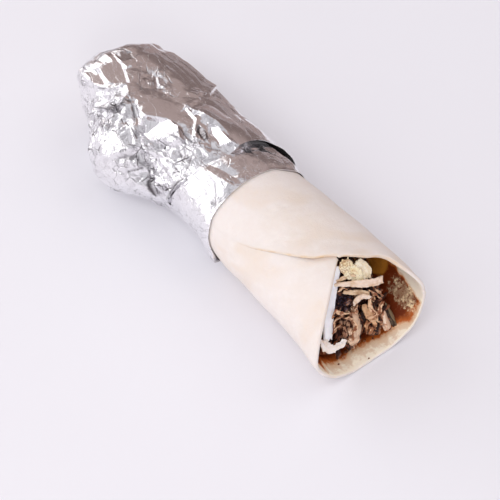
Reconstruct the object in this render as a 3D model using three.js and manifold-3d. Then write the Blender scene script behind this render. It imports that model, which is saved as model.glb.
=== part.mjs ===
// A durum wrap lying on its belly: a rolled flatbread whose two flaps cross over a filling of
// torn meat and cabbage, with crumpled foil round its closed half.
// Lengths are millimetres and angles degrees. +Y runs from the open mouth to the closed end and
// +Z is up. An angle round the roll is 0 on top and grows towards +X.

import * as THREE from 'three';
import { mergeVertices } from 'three/addons/utils/BufferGeometryUtils.js';
import Module from 'manifold-3d';

const wasm = await Module();
wasm.setup();

// The roll of flatbread, measured from the corners of its mouth
const breadWall = 2.4;
const domeStart = 200; // where the closed end begins to round off
const domeLength = 22;
const bellySink = 1.5; // how far the round belly is pressed flat
const fitGap = 0.35; // air between pieces that touch
const coreGap = 0.9; // air between the bread and the mass inside it
const halfWidthAt = curveThrough([
  [0, 39.5], [20, 38.5], [60, 36.7], [100, 34.8], [122, 32.6], [200, 30], [236, 27],
]);
const halfHeightAt = curveThrough([[0, 28], [60, 28], [100, 27.4], [200, 25.4]]);
const driftAt = curveThrough([[0, 1], [20, 2.6], [60, 2.2], [100, 1.2], [122, 1.6], [200, -1]]);

// The mouth: the two flaps meet in a V on top, and the lip below it reaches forward
const apexY = 31.8;
const lipReach = 3.8;
const leftFlapTip = 1.5; // the left flap is still at its full length this far from the middle
const rightFlapEdge = curveThrough([
  [0, 31.6], [7, 28.4], [14, 25], [25, 20.6], [31, 11], [36, 4.4], [42, 0],
]);
const seamAngleAt = curveThrough([[31.8, -1], [41, -18], [58, -36], [75, -52], [104, -66], [200, -70]]);
const seamStep = 1.9; // height of the outer flap's edge over the flap below it
const seamFade = [62, 92]; // where along Y that edge sinks into the roll
const seamBlend = 26; // degrees over which the outer flap's lift dies away
const seamReach = 150; // degrees round from the seam that lean with it
const lumpHeight = 0.45;
const breadColumns = 50;

// The foil: a smooth collar, then the crumpled main sheet whose front edge stands proud of it
const foilThickness = 1.2;
const foilSlack = 0.7; // air between the bread and the foil
const collarY = 104;
const foilEndY = 231;
const foilLeftAt = curveThrough([
  [118, 1.6], [142, 2], [158, 6.5], [177, 18], [194, 19.5], [216, 9], [231, 1.5],
]);
const foilRightAt = curveThrough([[118, 1.2], [160, 3], [200, 5.6], [222, 5.2], [231, 3.5]]);
const foilTopAt = curveThrough([[118, 2.6], [150, 4.6], [200, 6], [222, 4.6], [231, 2]]);
const foilFrontAt = curveThrough([
  [-180, 131], [-92, 137], [-44, 131], [0, 128], [31, 128.5], [50, 124], [75, 117], [110, 114], [140, 122],
  [180, 131],
]);
const ridgeAngleAt = curveThrough([[118, -28], [150, -32], [190, -36], [231, -40]]);
const ridgeHeight = 3;
const ridgeWidth = 36; // degrees either side of its crest
const ridgeFade = [[128, 150], [205, 229]]; // where along Y the ridge comes up and sinks again
const foilColumns = 54;
const collarCrease = 0.5;
const leastLift = 1.6; // the main sheet lies at least this far off the collar
const sheetEdge = 0.9; // thickness that its front edge shows
const bellyDrop = 2; // the most that it hangs below the bread
const endMiddle = 25; // height of the folded end's middle
const endDepth = 13; // how far the folded end is crowned
const earReach = 8; // the spare foil that stands out of it, its X and Z, half sizes and lean
const earAt = [-15, 41];
const earSize = [15, 6.5];
const earLean = 0.3;
const flapHeight = 2.8; // how far the front edge stands off the collar on the right
const flapAngles = [-22, 12, 96, 128]; // where that begins, is full, ends and is gone
const flapFade = [128, 160]; // where along Y it has sunk into the sheet
const grooveDepth = [1, 15]; // how far one can see in under the front edge, at least and at most
const crumpleDepth = 4.4;
const crumpleSites = 70;
const crumpleSteepness = [0.22, 0.62];
const foilGirth = 236;

// The filling's sloping front: its foot, its rise from there, and the pieces that lie on it
const frontFootY = 5;
const frontFootZ = 5;
const frontSlope = 0.62; // Y gained for each Z climbed
const recessAt = curveThrough([[20, 21.5], [32, 20], [47, 13]]); // past this X the filling falls back
const recessRate = 1.5;
const leftRecessAt = -20; // and before this one, more gently
const leftRecessRate = 0.6;
const coreBehind = 1.4; // how far the mass lies behind the pieces' slope
const coreRipple = 0.9;
const coreColumns = 36;
const shredCount = 10;

const degree = Math.PI / 180;

// A smooth function of one number through [position, value] pairs, level beyond both ends.
function curveThrough(pairs) {
  const last = pairs.length - 1;
  const slope = (i) => {
    const [lowX, lowV] = pairs[Math.max(i - 1, 0)];
    const [highX, highV] = pairs[Math.min(i + 1, last)];
    return i === 0 || i === last ? 0 : (highV - lowV) / (highX - lowX);
  };
  return (x) => {
    if (x <= pairs[0][0]) return pairs[0][1];
    if (x >= pairs[last][0]) return pairs[last][1];
    const i = pairs.findIndex(([p]) => p > x) - 1;
    const [x0, v0] = pairs[i];
    const [x1, v1] = pairs[i + 1];
    const span = x1 - x0;
    const t = (x - x0) / span;
    const near = (1 + 2 * t) * (1 - t) ** 2 * v0 + t * (1 - t) ** 2 * span * slope(i);
    const far = t * t * (3 - 2 * t) * v1 + t * t * (t - 1) * span * slope(i + 1);
    return near + far;
  };
}

// A repeatable number from 0 to 1 for each whole number.
function chance(n) {
  const value = Math.sin(n * 12.9898 + 4.1414) * 43758.5453;
  return value - Math.floor(value);
}

function rise(x, from, to) {
  return THREE.MathUtils.smoothstep(x, from, to);
}

// Moves every vertex of a geometry by a function and welds what meets.
function reshape(geometry, move) {
  const position = geometry.getAttribute('position');
  const point = new THREE.Vector3();
  for (let i = 0; i < position.count; i += 1) {
    point.fromBufferAttribute(position, i);
    move(point, i);
    position.setXYZ(i, point.x, point.y, point.z);
  }
  geometry.deleteAttribute('normal');
  geometry.deleteAttribute('uv');
  return mergeVertices(geometry, 1e-3);
}

// A closed skin of rows of points: each row goes round by columns, and the first and last rows are poles.
function skin(rows, columns, pointAt) {
  const profile = Array.from({ length: rows }, (_, row) => {
    const turn = (row / (rows - 1)) * Math.PI;
    return new THREE.Vector2(row === 0 || row === rows - 1 ? 0 : Math.sin(turn), -Math.cos(turn));
  });
  const lathe = new THREE.LatheGeometry(profile, columns);
  const mapped = reshape(lathe, (point, i) => {
    point.copy(pointAt(columns - 1 - (Math.floor(i / rows) % columns), i % rows));
  });
  mapped.setIndex(Array.from(mapped.index.array).reverse());
  return mapped;
}

function solidOf(geometry) {
  return new wasm.Manifold(new wasm.Mesh({
    numProp: 3,
    vertProperties: geometry.getAttribute('position').array,
    triVerts: Uint32Array.from(geometry.index.array),
  }));
}

function geometryOf(solid) {
  const { numProp, vertProperties, triVerts } = solid.getMesh();
  const geometry = new THREE.BufferGeometry();
  const interleaved = new THREE.InterleavedBuffer(vertProperties, numProp);
  geometry.setAttribute('position', new THREE.InterleavedBufferAttribute(interleaved, 3, 0));
  geometry.setIndex(new THREE.BufferAttribute(triVerts, 1));
  return geometry;
}

function largestBody(solid) {
  return solid.decompose().reduce((best, body) => (body.volume() > best.volume() ? body : best));
}

// A point of the roll at a station { y, dome }, where dome is 0 along the roll and 90 at its closed tip.
// Offset moves it outwards, drop does so below its middle, and floor is how high the belly lies.
function rollPoint(angle, { y, dome = 0 }, offset, floor, drop = offset) {
  const spread = Math.cos(dome * degree);
  const halfHeight = halfHeightAt(y);
  const x = driftAt(y) + (halfWidthAt(y) + offset) * spread * Math.sin(angle * degree);
  const climb = Math.cos(angle * degree);
  const z = halfHeight - bellySink + (halfHeight + (climb < 0 ? drop : offset)) * spread * climb;
  const reach = (domeLength + offset) * Math.sin(dome * degree);
  return new THREE.Vector3(x, y + reach, Math.max(z, floor - offset));
}

// Inside the foil the bread lies on it.
function breadFloor(y) {
  return (foilThickness + fitGap) * rise(y, collarY - 16, collarY - 3);
}

// How far along Y the bread's edge lies at an angle round the mouth.
function rimY(angle) {
  const across = halfWidthAt(0) * Math.sin(angle * degree);
  if (Math.abs(angle) > 90) return -lipReach * rise(Math.abs(angle), 90, 140);
  if (angle >= 0) return rightFlapEdge(across);
  const pastTip = Math.max(0, -across - leftFlapTip);
  return apexY * (1 - pastTip / (halfWidthAt(0) - leftFlapTip));
}

// Two columns lie close together on top, and the outer flap's edge runs between them.
const breadAngles = Array.from({ length: breadColumns }, (_, i) => {
  const middle = breadColumns / 2;
  if (i === middle - 1) return seamAngleAt(apexY) - 0.7;
  if (i === middle) return seamAngleAt(apexY) + 0.7;
  return -180 + (360 * (i < middle ? i : i + 0.6)) / breadColumns;
});

// Columns lean with the seam, and less the further round they are from it.
function leanedAngle(angle, y) {
  const shift = seamAngleAt(Math.max(y, apexY)) - seamAngleAt(apexY);
  return angle + shift * (1 - rise(Math.abs(angle - seamAngleAt(apexY)), 0, seamReach));
}

function flapLift(angle, y) {
  const fromSeam = leanedAngle(angle, y) - seamAngleAt(Math.max(y, apexY));
  if (fromSeam < 0) return 0;
  return seamStep * (1 - rise(fromSeam, 0, seamBlend)) * (1 - rise(y, ...seamFade));
}

// Soft lumps where the filling presses through, dying away towards the foil.
function breadLump(angle, y) {
  const waves = Math.sin(y / 9 + 2 * Math.sin(angle * degree)) * Math.cos(angle * 3 * degree + y / 21);
  const above = 1 - rise(Math.abs(angle), 90, 125);
  return lumpHeight * waves * above * (1 - rise(y, collarY - 20, collarY - 4)) * rise(y, -2, 12);
}

// The bread's skin, grown outwards and inwards by grow to cut room for it in the pieces beside it.
function breadSolid(grow = 0) {
  const steps = [0.012, 0.04, 0.08, 0.13, 0.19, 0.26, 0.33, 0.4, 0.47, 0.52, 0.57, 0.62, 0.69, 0.8, 1];
  const domes = [28, 55, 76];
  const inner = -breadWall - grow;
  const place = (angle, step, offset, dome = 0) => {
    const rim = rimY(angle) - grow;
    const y = rim + (domeStart - rim) * step;
    if (offset < inner / 2) return rollPoint(angle, { y, dome }, offset, breadFloor(y));
    const lift = flapLift(angle, y) + breadLump(angle, y);
    return rollPoint(leanedAngle(angle, y), { y, dome }, offset + lift, breadFloor(y));
  };
  const innerSteps = [0.03, 0.1, 0.2, 0.35, 0.55, 1].reverse();
  const rows = [
    (angle) => place(angle, 1, inner, 90),
    ...[...domes].reverse().map((dome) => (angle) => place(angle, 1, inner, dome)),
    ...innerSteps.map((step) => (angle) => place(angle, step, inner)),
    (angle) => place(angle, 0.007, inner),
    (angle) => place(angle, 0, inner * 0.7),
    (angle) => place(angle, 0, inner * 0.3),
    ...steps.map((step) => (angle) => place(angle, step, grow)),
    ...domes.map((dome) => (angle) => place(angle, 1, grow, dome)),
    (angle) => place(angle, 1, grow, 90),
  ];
  return solidOf(skin(rows.length, breadColumns, (column, row) => rows[row](breadAngles[column])));
}

// Creases of crumpled foil: the lowest of many flat-sided dents, each with its own steepness and turn.
const dents = Array.from({ length: crumpleSites }, (_, i) => ({
  along: foilGirth * chance(3 * i + 1),
  y: collarY + (foilEndY + 20 - collarY) * chance(3 * i + 2),
  steepness: THREE.MathUtils.lerp(...crumpleSteepness, chance(3 * i + 3)),
  turn: 360 * chance(i + 900),
  sides: 3 + Math.floor(2 * chance(i + 500)),
}));

function crumple(angle, y) {
  const along = (foilGirth * (angle + 180)) / 360;
  const depths = dents.map((dent) => {
    const across = ((along - dent.along + 1.5 * foilGirth) % foilGirth) - foilGirth / 2;
    const sides = Array.from({ length: dent.sides }, (_, k) => {
      const facing = (dent.turn + (360 * k) / dent.sides) * degree;
      return Math.cos(facing) * across + Math.sin(facing) * (y - dent.y);
    });
    return dent.steepness * Math.max(...sides);
  });
  return Math.min(crumpleDepth, ...depths);
}

// Where round the roll the front edge stands off, from 0 to 1.
function flapShare(angle) {
  return rise(angle, flapAngles[0], flapAngles[1]) * (1 - rise(angle, flapAngles[2], flapAngles[3]));
}

// How far the main sheet lies off the bread: its reach to the left, right and top blend round the roll.
function foilOffset(angle, y) {
  const side = Math.sin(angle * degree);
  const facing = [-side, side, Math.cos(angle * degree)].map((share) => Math.max(0, share) ** 1.5);
  const reaches = [foilLeftAt(y), foilRightAt(y), foilTopAt(y)];
  const total = facing[0] + facing[1] + facing[2];
  const reach = facing.reduce((sum, share, i) => sum + share * reaches[i], 0) / Math.max(total, 0.02);
  const crest = Math.max(0, 1 - Math.abs(angle - ridgeAngleAt(y)) / ridgeWidth);
  const ridge = ridgeHeight * crest * rise(y, ...ridgeFade[0]) * (1 - rise(y, ...ridgeFade[1]));
  const flap = flapHeight * flapShare(angle) * (1 - rise(y, ...flapFade));
  const dent = (crumpleDepth / 2 - crumple(angle, y)) * rise(reach + ridge, 1, 6);
  return fitGap + foilThickness + Math.max(leastLift, reach + ridge + flap + dent);
}

function foilPoint(angle, y, inset = 0) {
  const offset = foilOffset(angle, y) - inset;
  const drop = Math.min(offset, fitGap + foilThickness + bellyDrop);
  return rollPoint(angle, { y }, offset, offset, drop);
}

// The folded end: rounded at its edge and dented, with a long ear of spare foil out of its upper left.
function foilEndPoint(angle, closing) {
  const middle = new THREE.Vector3(driftAt(foilEndY), foilEndY, endMiddle);
  const point = middle.lerp(foilPoint(angle, foilEndY), closing);
  const along = (point.x - earAt[0] + earLean * (point.z - earAt[1])) / earSize[0];
  const across = (point.z - earAt[1] - earLean * (point.x - earAt[0])) / earSize[1];
  const ear = earReach * Math.exp(-(along ** 4) - across ** 2);
  const dent = closing * crumple(angle, foilEndY + endDepth * 2 * (1 - closing));
  point.y += (endDepth - dent) * Math.sqrt(1 - closing ** 4) + ear;
  return point;
}

function collarPoint(angle, y, lift = 0) {
  const crease = collarCrease * Math.abs(Math.sin(angle * 2.3 * degree + y / 7));
  const offset = fitGap + foilThickness + crease + lift;
  return rollPoint(angle, { y }, offset, offset);
}

// The collar runs on under the main sheet's front edge, so that the edge shows its thickness.
function groovePoint(angle, share, openness) {
  const y = foilFrontAt(angle) + THREE.MathUtils.lerp(...grooveDepth, flapShare(angle)) * share;
  const under = collarPoint(angle, y, 0.3 * openness);
  return under.lerp(foilPoint(angle, y, sheetEdge), openness);
}

function foilSolid() {
  const angleOf = (column) => -180 + (360 * column) / foilColumns;
  const inside = (y, dome) => (angle) => rollPoint(angle, { y, dome }, foilSlack, breadFloor(collarY));
  const collar = (share) => (angle) => {
    const front = foilFrontAt(angle);
    return collarPoint(angle, collarY + (front - collarY) * share);
  };
  const main = (share) => (angle) => {
    const front = foilFrontAt(angle);
    return foilPoint(angle, front + (foilEndY - front) * share);
  };
  const mainRows = 21;
  const closings = [0.975, 0.92, 0.82, 0.66, 0.46, 0.24, 0];
  const rows = [
    inside(domeStart, 90),
    ...[76, 55, 28].map((dome) => inside(domeStart, dome)),
    ...[domeStart, 172, 148, 132, 121, 112, collarY + 0.4].map((y) => inside(y, 0)),
    ...[0, 0.4, 0.8, 1].map(collar),
    ...[0.5, 1].map((share) => (angle) => groovePoint(angle, share, 0)),
    ...[[0.96, 0.12], [0.5, 0.7], [0, 1]].map(([share, open]) => (angle) => groovePoint(angle, share, open)),
    ...Array.from({ length: mainRows }, (_, i) => main(i / (mainRows - 1))),
    ...closings.map((closing) => (angle) => foilEndPoint(angle, closing)),
  ];
  return solidOf(skin(rows.length, foilColumns, (column, row) => rows[row](angleOf(column))));
}

// A point on the filling's sloping front, by its X, its way up the slope and its height over it.
const slopeUp = new THREE.Vector3(0, frontSlope, 1).normalize();
const slopeOut = new THREE.Vector3(0, -1, frontSlope).normalize();

function frontPoint(x, up, out = 0) {
  const foot = new THREE.Vector3(x, frontFootY, frontFootZ);
  return foot.addScaledVector(slopeUp, up).addScaledVector(slopeOut, out);
}

// A shred of leaf or rib: a thin strip along a path on the front, wavy across its length.
function shred({ path, width, thickness, out, roll = 0, wave = 0.5 }, grow = 0) {
  const curve = new THREE.CatmullRomCurve3(path.map(([x, up, lift = 0]) => frontPoint(x, up, out + lift)));
  const strip = new THREE.BoxGeometry(1, 1, 1, 4, 1, 12);
  return solidOf(reshape(strip, (point) => {
    const share = point.z + 0.5;
    const tangent = curve.getTangentAt(share);
    const across = new THREE.Vector3().crossVectors(slopeOut, tangent).normalize();
    across.applyAxisAngle(tangent, roll * degree);
    const normal = new THREE.Vector3().crossVectors(tangent, across);
    const tapered = (width / 2) * (0.72 + 0.28 * Math.sin(Math.PI * share)) + grow;
    const ripple = wave * Math.sin(9 * share + 4 * point.x) + 1.6 * point.x * point.x * wave;
    const ends = (share - 0.5) * 2 * grow;
    const base = curve.getPointAt(share).addScaledVector(tangent, ends);
    base.addScaledVector(across, 2 * point.x * tapered);
    point.copy(base.addScaledVector(normal, ripple + 2 * point.y * (thickness / 2 + grow)));
  }));
}

// A torn lump of meat, longest up the slope, with flats and ridges.
function lump({ at, size, turn = 0, seed, detail = 2 }, grow = 0) {
  const ball = new THREE.IcosahedronGeometry(1, detail);
  const [x, up, out] = at;
  const centre = frontPoint(x, up, out);
  return solidOf(reshape(ball, (point) => {
    const unit = point.clone().normalize();
    const waves = [5 * unit.x + seed, 6 * unit.y + 2 * seed, 7 * unit.z + 3 * seed].map(Math.sin);
    const swell = 1 + 0.1 * (waves[0] + waves[1] + waves[2]);
    const local = new THREE.Vector2(unit.x * (size[0] * swell + grow), unit.y * (size[1] * swell + grow));
    local.rotateAround(new THREE.Vector2(), turn * degree);
    const lift = unit.z * (size[2] * swell + grow);
    point.copy(centre).addScaledVector(slopeUp, local.y).addScaledVector(slopeOut, lift);
    point.x += local.x;
  }));
}

// Pieces on top come first: each is cut clear of the ones before it. A path's points are X, way up
// the slope and any lift off it.
const fillingPieces = [
  {
    name: 'cabbage_rib', make: shred, colour: 0xf1efec, width: 5.4, thickness: 1.6, out: 3.4, wave: 0.2,
    roll: -12, path: [[-2.4, 48.6], [-8.8, 40.6], [-15.6, 29.2], [-21, 17]],
  },
  {
    name: 'cabbage_curl', make: shred, colour: 0xe6dcd2, width: 5.6, thickness: 1.2, out: 2.6, wave: 0.7,
    path: [[-24, 17, 0.5], [-22.6, 12], [-17, 9.6, 0.6], [-10.8, 12.6, 1.6]],
  },
  {
    name: 'cabbage_leaf_1', make: shred, colour: 0xe8d9a4, width: 10.5, thickness: 1.1, out: 2.4, wave: 0.9,
    path: [[1.6, 52], [3.4, 46.6], [7, 41], [10.4, 35.6]],
  },
  {
    name: 'cabbage_leaf_2', make: shred, colour: 0xe7d8c6, width: 5.8, thickness: 1.1, out: 3.2, wave: 0.6,
    roll: 25, path: [[12, 48], [13.4, 43], [15.4, 37.4]],
  },
  {
    name: 'cabbage_strip_1', make: shred, colour: 0xdfcdb6, width: 4.6, thickness: 1.5, out: 5, wave: 0.3,
    path: [[-6.4, 39, -2], [-1, 36.8], [11, 33, 0.6], [17.4, 33.2, 1.4], [22, 31, 1]],
  },
  {
    name: 'cabbage_strip_2', make: shred, colour: 0xd9c3a0, width: 3.8, thickness: 1.3, out: 3.4, wave: 0.5,
    path: [[-5, 35], [2, 33], [8.6, 29.4], [13.4, 27.6]],
  },
  {
    name: 'cabbage_strip_3', make: shred, colour: 0xd8c6b0, width: 3.4, thickness: 1.3, out: 5.4, wave: 0.4,
    path: [[-0.4, 25], [4.4, 27], [11.2, 23.8]],
  },
  {
    name: 'meat_piece_1', make: lump, colour: 0x8d6f60, at: [-3, 14.5, 1], size: [7.8, 11.6, 5.2],
    turn: -18, seed: 1.3,
  },
  {
    name: 'meat_piece_2', make: lump, colour: 0x7b4f37, at: [9.6, 12.5, 1], size: [5.4, 10.5, 4.8],
    turn: 6, seed: 2.4,
  },
  {
    name: 'meat_piece_3', make: lump, colour: 0x3a2320, at: [-3, 30, 0], size: [7.2, 7.6, 3.6],
    turn: 30, seed: 4.1,
  },
  {
    name: 'meat_strip_1', make: lump, colour: 0xc9a283, at: [17.3, 5.4, 0.5], size: [2.5, 7, 2.4],
    turn: 5, seed: 5.2,
  },
  {
    name: 'pickle_strip', make: lump, colour: 0x56493a, at: [21.8, 4.6, -0.6], size: [1.7, 7.6, 1.9],
    turn: 9, seed: 6.6,
  },
];

// Small torn shreds that show between the large pieces and are one with the mass behind them.
function smallShreds() {
  return Array.from({ length: shredCount }, (_, i) => {
    const at = [-17 + 35 * chance(40 + i), 1 + 40 * chance(80 + i), -0.6];
    const size = [2 + chance(160 + i), 2.6 + 2.6 * chance(120 + i), 2.4];
    return lump({ at, size, turn: 180 * chance(200 + i), seed: i, detail: 1 });
  });
}

// The mass behind the pieces: a rippled sloping front, the sides along the bread and a round end.
function fillingCore() {
  const angleOf = (column) => -180 + (360 * column) / coreColumns;
  const offset = -breadWall - coreGap;
  const front = (angle, share) => {
    const wall = rollPoint(angle, { y: 20 }, offset, 0);
    const x = driftAt(20) + (wall.x - driftAt(20)) * share;
    const z = halfHeightAt(20) + (wall.z - halfHeightAt(20)) * share;
    const ripple = coreRipple * Math.sin(x / 3.1 + z / 4.3) * Math.cos(z / 3.3 - x / 5.2) * share;
    const right = recessRate * Math.max(0, x - recessAt(z));
    const left = leftRecessRate * Math.max(0, leftRecessAt - x);
    const y = frontFootY + coreBehind + (z - frontFootZ) * frontSlope + right + left + ripple;
    const there = rollPoint(angle, { y }, offset, breadFloor(y));
    const here = new THREE.Vector3(driftAt(y), y, halfHeightAt(y)).lerp(there, share);
    here.y = y;
    return here;
  };
  const along = (share) => (angle) => {
    const start = front(angle, 1).y;
    const y = start + (domeStart - start) * share;
    return rollPoint(angle, { y }, offset, breadFloor(y));
  };
  const end = (dome) => (angle) => rollPoint(angle, { y: domeStart, dome }, offset, breadFloor(domeStart));
  const rows = [
    ...[0, 0.2, 0.4, 0.58, 0.76, 0.9].map((share) => (angle) => front(angle, share)),
    ...[0, 0.12, 0.3, 0.6, 1].map(along),
    ...[28, 55, 76, 90].map(end),
  ];
  return solidOf(skin(rows.length, coreColumns, (column, row) => rows[row](angleOf(column))));
}

function meshOf(name, solid, colour, roughness, metalness = 0) {
  const material = new THREE.MeshStandardMaterial({ color: colour, roughness, metalness, flatShading: true });
  const mesh = new THREE.Mesh(geometryOf(solid), material);
  mesh.name = name;
  return mesh;
}

function buildWrap() {
  const wrap = new THREE.Group();
  wrap.add(meshOf('flatbread', breadSolid(), 0xeee3d6, 0.85));
  wrap.add(meshOf('foil_wrapper', foilSolid(), 0xc9c8cc, 0.25, 1));

  const breadRoom = breadSolid(fitGap);
  const roomsAbove = [];
  for (const piece of fillingPieces) {
    let solid = piece.make(piece).subtract(breadRoom);
    for (const room of roomsAbove) solid = solid.subtract(room);
    roomsAbove.push(piece.make(piece, fitGap));
    wrap.add(meshOf(piece.name, largestBody(solid), piece.colour, 0.6));
  }

  let core = fillingCore();
  for (const bit of smallShreds()) core = core.add(bit.subtract(breadRoom));
  for (const room of roomsAbove) core = core.subtract(room);
  wrap.add(meshOf('meat_filling', largestBody(core), 0x6b3f2a, 0.6));

  // The origin lies under the middle of the wrap, level with its flattened belly.
  const bounds = new THREE.Box3().setFromObject(wrap);
  const middle = bounds.getCenter(new THREE.Vector3());
  wrap.position.set(-middle.x, -middle.y, -bounds.min.z);
  return wrap;
}

export default buildWrap();
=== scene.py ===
import math

import bmesh
import bpy
import numpy as np
from mathutils import Matrix, Vector
from mathutils.geometry import delaunay_2d_cdt


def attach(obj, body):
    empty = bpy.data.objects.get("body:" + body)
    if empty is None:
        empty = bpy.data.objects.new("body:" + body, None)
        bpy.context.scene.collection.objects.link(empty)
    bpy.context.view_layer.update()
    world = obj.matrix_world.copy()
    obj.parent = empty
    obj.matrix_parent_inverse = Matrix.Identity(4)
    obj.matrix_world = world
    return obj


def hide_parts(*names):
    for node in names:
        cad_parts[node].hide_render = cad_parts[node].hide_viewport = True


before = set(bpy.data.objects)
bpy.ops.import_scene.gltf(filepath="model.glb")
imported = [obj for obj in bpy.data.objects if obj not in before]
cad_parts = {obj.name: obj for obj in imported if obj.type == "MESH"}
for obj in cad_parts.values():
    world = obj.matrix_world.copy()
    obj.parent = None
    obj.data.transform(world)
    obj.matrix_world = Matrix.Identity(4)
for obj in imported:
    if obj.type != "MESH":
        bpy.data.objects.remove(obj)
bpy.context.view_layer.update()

# The wrap is worked out in millimetres from the corners of its mouth, like its solids: +Y runs to the
# closed end, +Z is up, and an angle round the roll is 0 on top and grows towards +X.
millimetre = 0.001
mouthPlace = (6.4256, -122.4092, 0.0)  # where the middle of those corners lies in the model's frame


# Curves and numbers.

def curveThrough(pairs):
    # a smooth function through (position, value) pairs, level beyond both ends
    xs, values = np.array(pairs, float).T
    slopes = np.zeros(len(xs))
    slopes[1:-1] = (values[2:] - values[:-2]) / (xs[2:] - xs[:-2])

    def at(x):
        x = np.clip(x, xs[0], xs[-1])
        i = np.clip(np.searchsorted(xs, x, side="right") - 1, 0, len(xs) - 2)
        span = xs[i + 1] - xs[i]
        t = (x - xs[i]) / span
        near = (1 + 2 * t) * (1 - t) ** 2 * values[i] + t * (1 - t) ** 2 * span * slopes[i]
        far = t * t * (3 - 2 * t) * values[i + 1] + t * t * (t - 1) * span * slopes[i + 1]
        return near + far

    return at


def rise(x, low, high):
    t = np.clip((x - low) / (high - low), 0, 1)
    return t * t * (3 - 2 * t)


def bandShare(x, low, full, ends, gone):
    # 1 from full to ends and 0 outside low and gone
    return rise(x, low, full) * (1 - rise(x, ends, gone))


def mix(a, b, share):
    return a + (b - a) * share


def sines(angle):
    return np.sin(np.radians(angle))


def cosines(angle):
    return np.cos(np.radians(angle))


def chance(*numbers):
    # a repeatable number from 0 to 1 for whole numbers or arrays of them
    total = sum(np.asarray(n, float) * (12.9898 + 65.233 * i) for i, n in enumerate(numbers))
    value = np.sin(total + 4.1414) * 43758.5453
    return value - np.floor(value)


def softNoise(x, y, z, seed):
    # smooth noise from -1 to 1 that works on whole arrays
    cell = [np.floor(v) for v in (x, y, z)]
    part = [v - c for v, c in zip((x, y, z), cell)]
    ease = [p * p * (3 - 2 * p) for p in part]
    total = 0
    for corner in range(8):
        steps = [(corner >> k) & 1 for k in range(3)]
        share = 1
        for k in range(3):
            share = share * (ease[k] if steps[k] else 1 - ease[k])
        total = total + share * chance(cell[0] + steps[0], cell[1] + steps[1], cell[2] + steps[2], seed)
    return 2 * total - 1


def flatNoise(x, y, seed):
    return softNoise(x, y, 0 * y, seed)


def ridged(x, y, z, seed):
    # noise from -1 to 1 with sharp crests
    return 1 - 2 * np.abs(softNoise(x, y, z, seed))


# The roll that everything follows.

roll = dict(
    # by the distance from its mouth: half its width, half its height, how far its middle drifts towards
    # +X, and the angle of its seam
    halfWidthAt=curveThrough([(0, 39.5), (20, 38.5), (60, 36.7), (100, 34.8), (122, 32.6), (200, 30),
                              (236, 27)]),
    halfHeightAt=curveThrough([(0, 28), (60, 28), (100, 27.4), (200, 25.4)]),
    driftAt=curveThrough([(0, 1), (20, 2.6), (60, 2.2), (100, 1.2), (122, 1.6), (200, -1)]),
    seamAt=curveThrough([(31.8, -1), (41, -18), (58, -36), (75, -52), (104, -66), (200, -70)]),
    apexY=31.8,  # where the seam starts
    bellySink=1.5,  # how much of the belly is pressed flat
    domeStart=200,  # the closed end: where it starts, how long it is and the angles of its rows
    domeLength=22,
    domeAngles=(28, 55, 76, 90),
    fitGap=0.35,  # between the bread and the foil
    foiledFloor=1.55,  # how high the foil under the bread lifts it, and between which Y it does so
    foiledFrom=(88, 101),
)
degreeLength = 0.62  # how many millimetres of the roll's girth a degree is


def rollPoint(angle, y, offset, floor=0.0, dome=0.0, drop=None):
    # a point of the roll: offset moves it outwards, and drop does so below its middle
    half = roll["halfHeightAt"](y)
    climb = cosines(angle)
    below = offset if drop is None else drop
    x = roll["driftAt"](y) + (roll["halfWidthAt"](y) + offset) * cosines(dome) * sines(angle)
    z = half - roll["bellySink"] + (half + np.where(climb < 0, below, offset)) * cosines(dome) * climb
    reach = (roll["domeLength"] + offset) * sines(dome)
    return np.stack(np.broadcast_arrays(x, y + reach, np.maximum(z, floor - offset)), -1)


def breadFloor(y):
    return roll["foiledFloor"] * rise(y, *roll["foiledFrom"])


weldGap = 2e-6  # vertices nearer than this many metres become one
shortestEdge = 1e-7  # and edges shorter than this are dissolved


def placeVerts(verts, points, layers, values):
    # vertices go to points given in millimetres, and each takes its values in the layers
    points = (points + np.array(mouthPlace)) * millimetre
    for vert, point, *own in zip(verts, points, *values):
        vert.co = point
        for layer, value in zip(layers, own):
            vert[layer] = value


def gridMesh(name, columns, rows, pointsAt, layers, creaseAngle=180):
    # a grid of quads whose vertices pointsAt(column, row) places, welded where they meet; what it gives
    # beside the points goes into the named layers
    bm = bmesh.new()
    layers = [bm.verts.layers.float.new(layer) for layer in layers]
    bmesh.ops.create_grid(bm, x_segments=columns, y_segments=rows, size=1)
    flat = (np.array([v.co[:2] for v in bm.verts]) + 1) / 2 * (columns, rows)
    points, *values = pointsAt(*np.rint(flat).astype(int).T)
    placeVerts(bm.verts, points, layers, values)
    bmesh.ops.remove_doubles(bm, verts=bm.verts, dist=weldGap)
    bmesh.ops.dissolve_degenerate(bm, edges=bm.edges, dist=shortestEdge)
    bmesh.ops.recalc_face_normals(bm, faces=bm.faces)
    return pieceOf(bm, name, creaseAngle)


def pieceOf(bm, name, creaseAngle=180):
    # edges that turn by more than creaseAngle stay sharp
    mesh = bpy.data.meshes.new(name)
    bm.to_mesh(mesh)
    bm.free()
    mesh.shade_smooth()
    if creaseAngle < 180:
        mesh.set_sharp_from_angle(angle=math.radians(creaseAngle))
    piece = bpy.data.objects.new(name, mesh)
    bpy.context.scene.collection.objects.link(piece)
    return piece


def dress(piece, material, slotName, *nodes):
    piece.data.materials.append(material)
    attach(piece, "root")
    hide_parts(*nodes)


# Materials.

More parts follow.
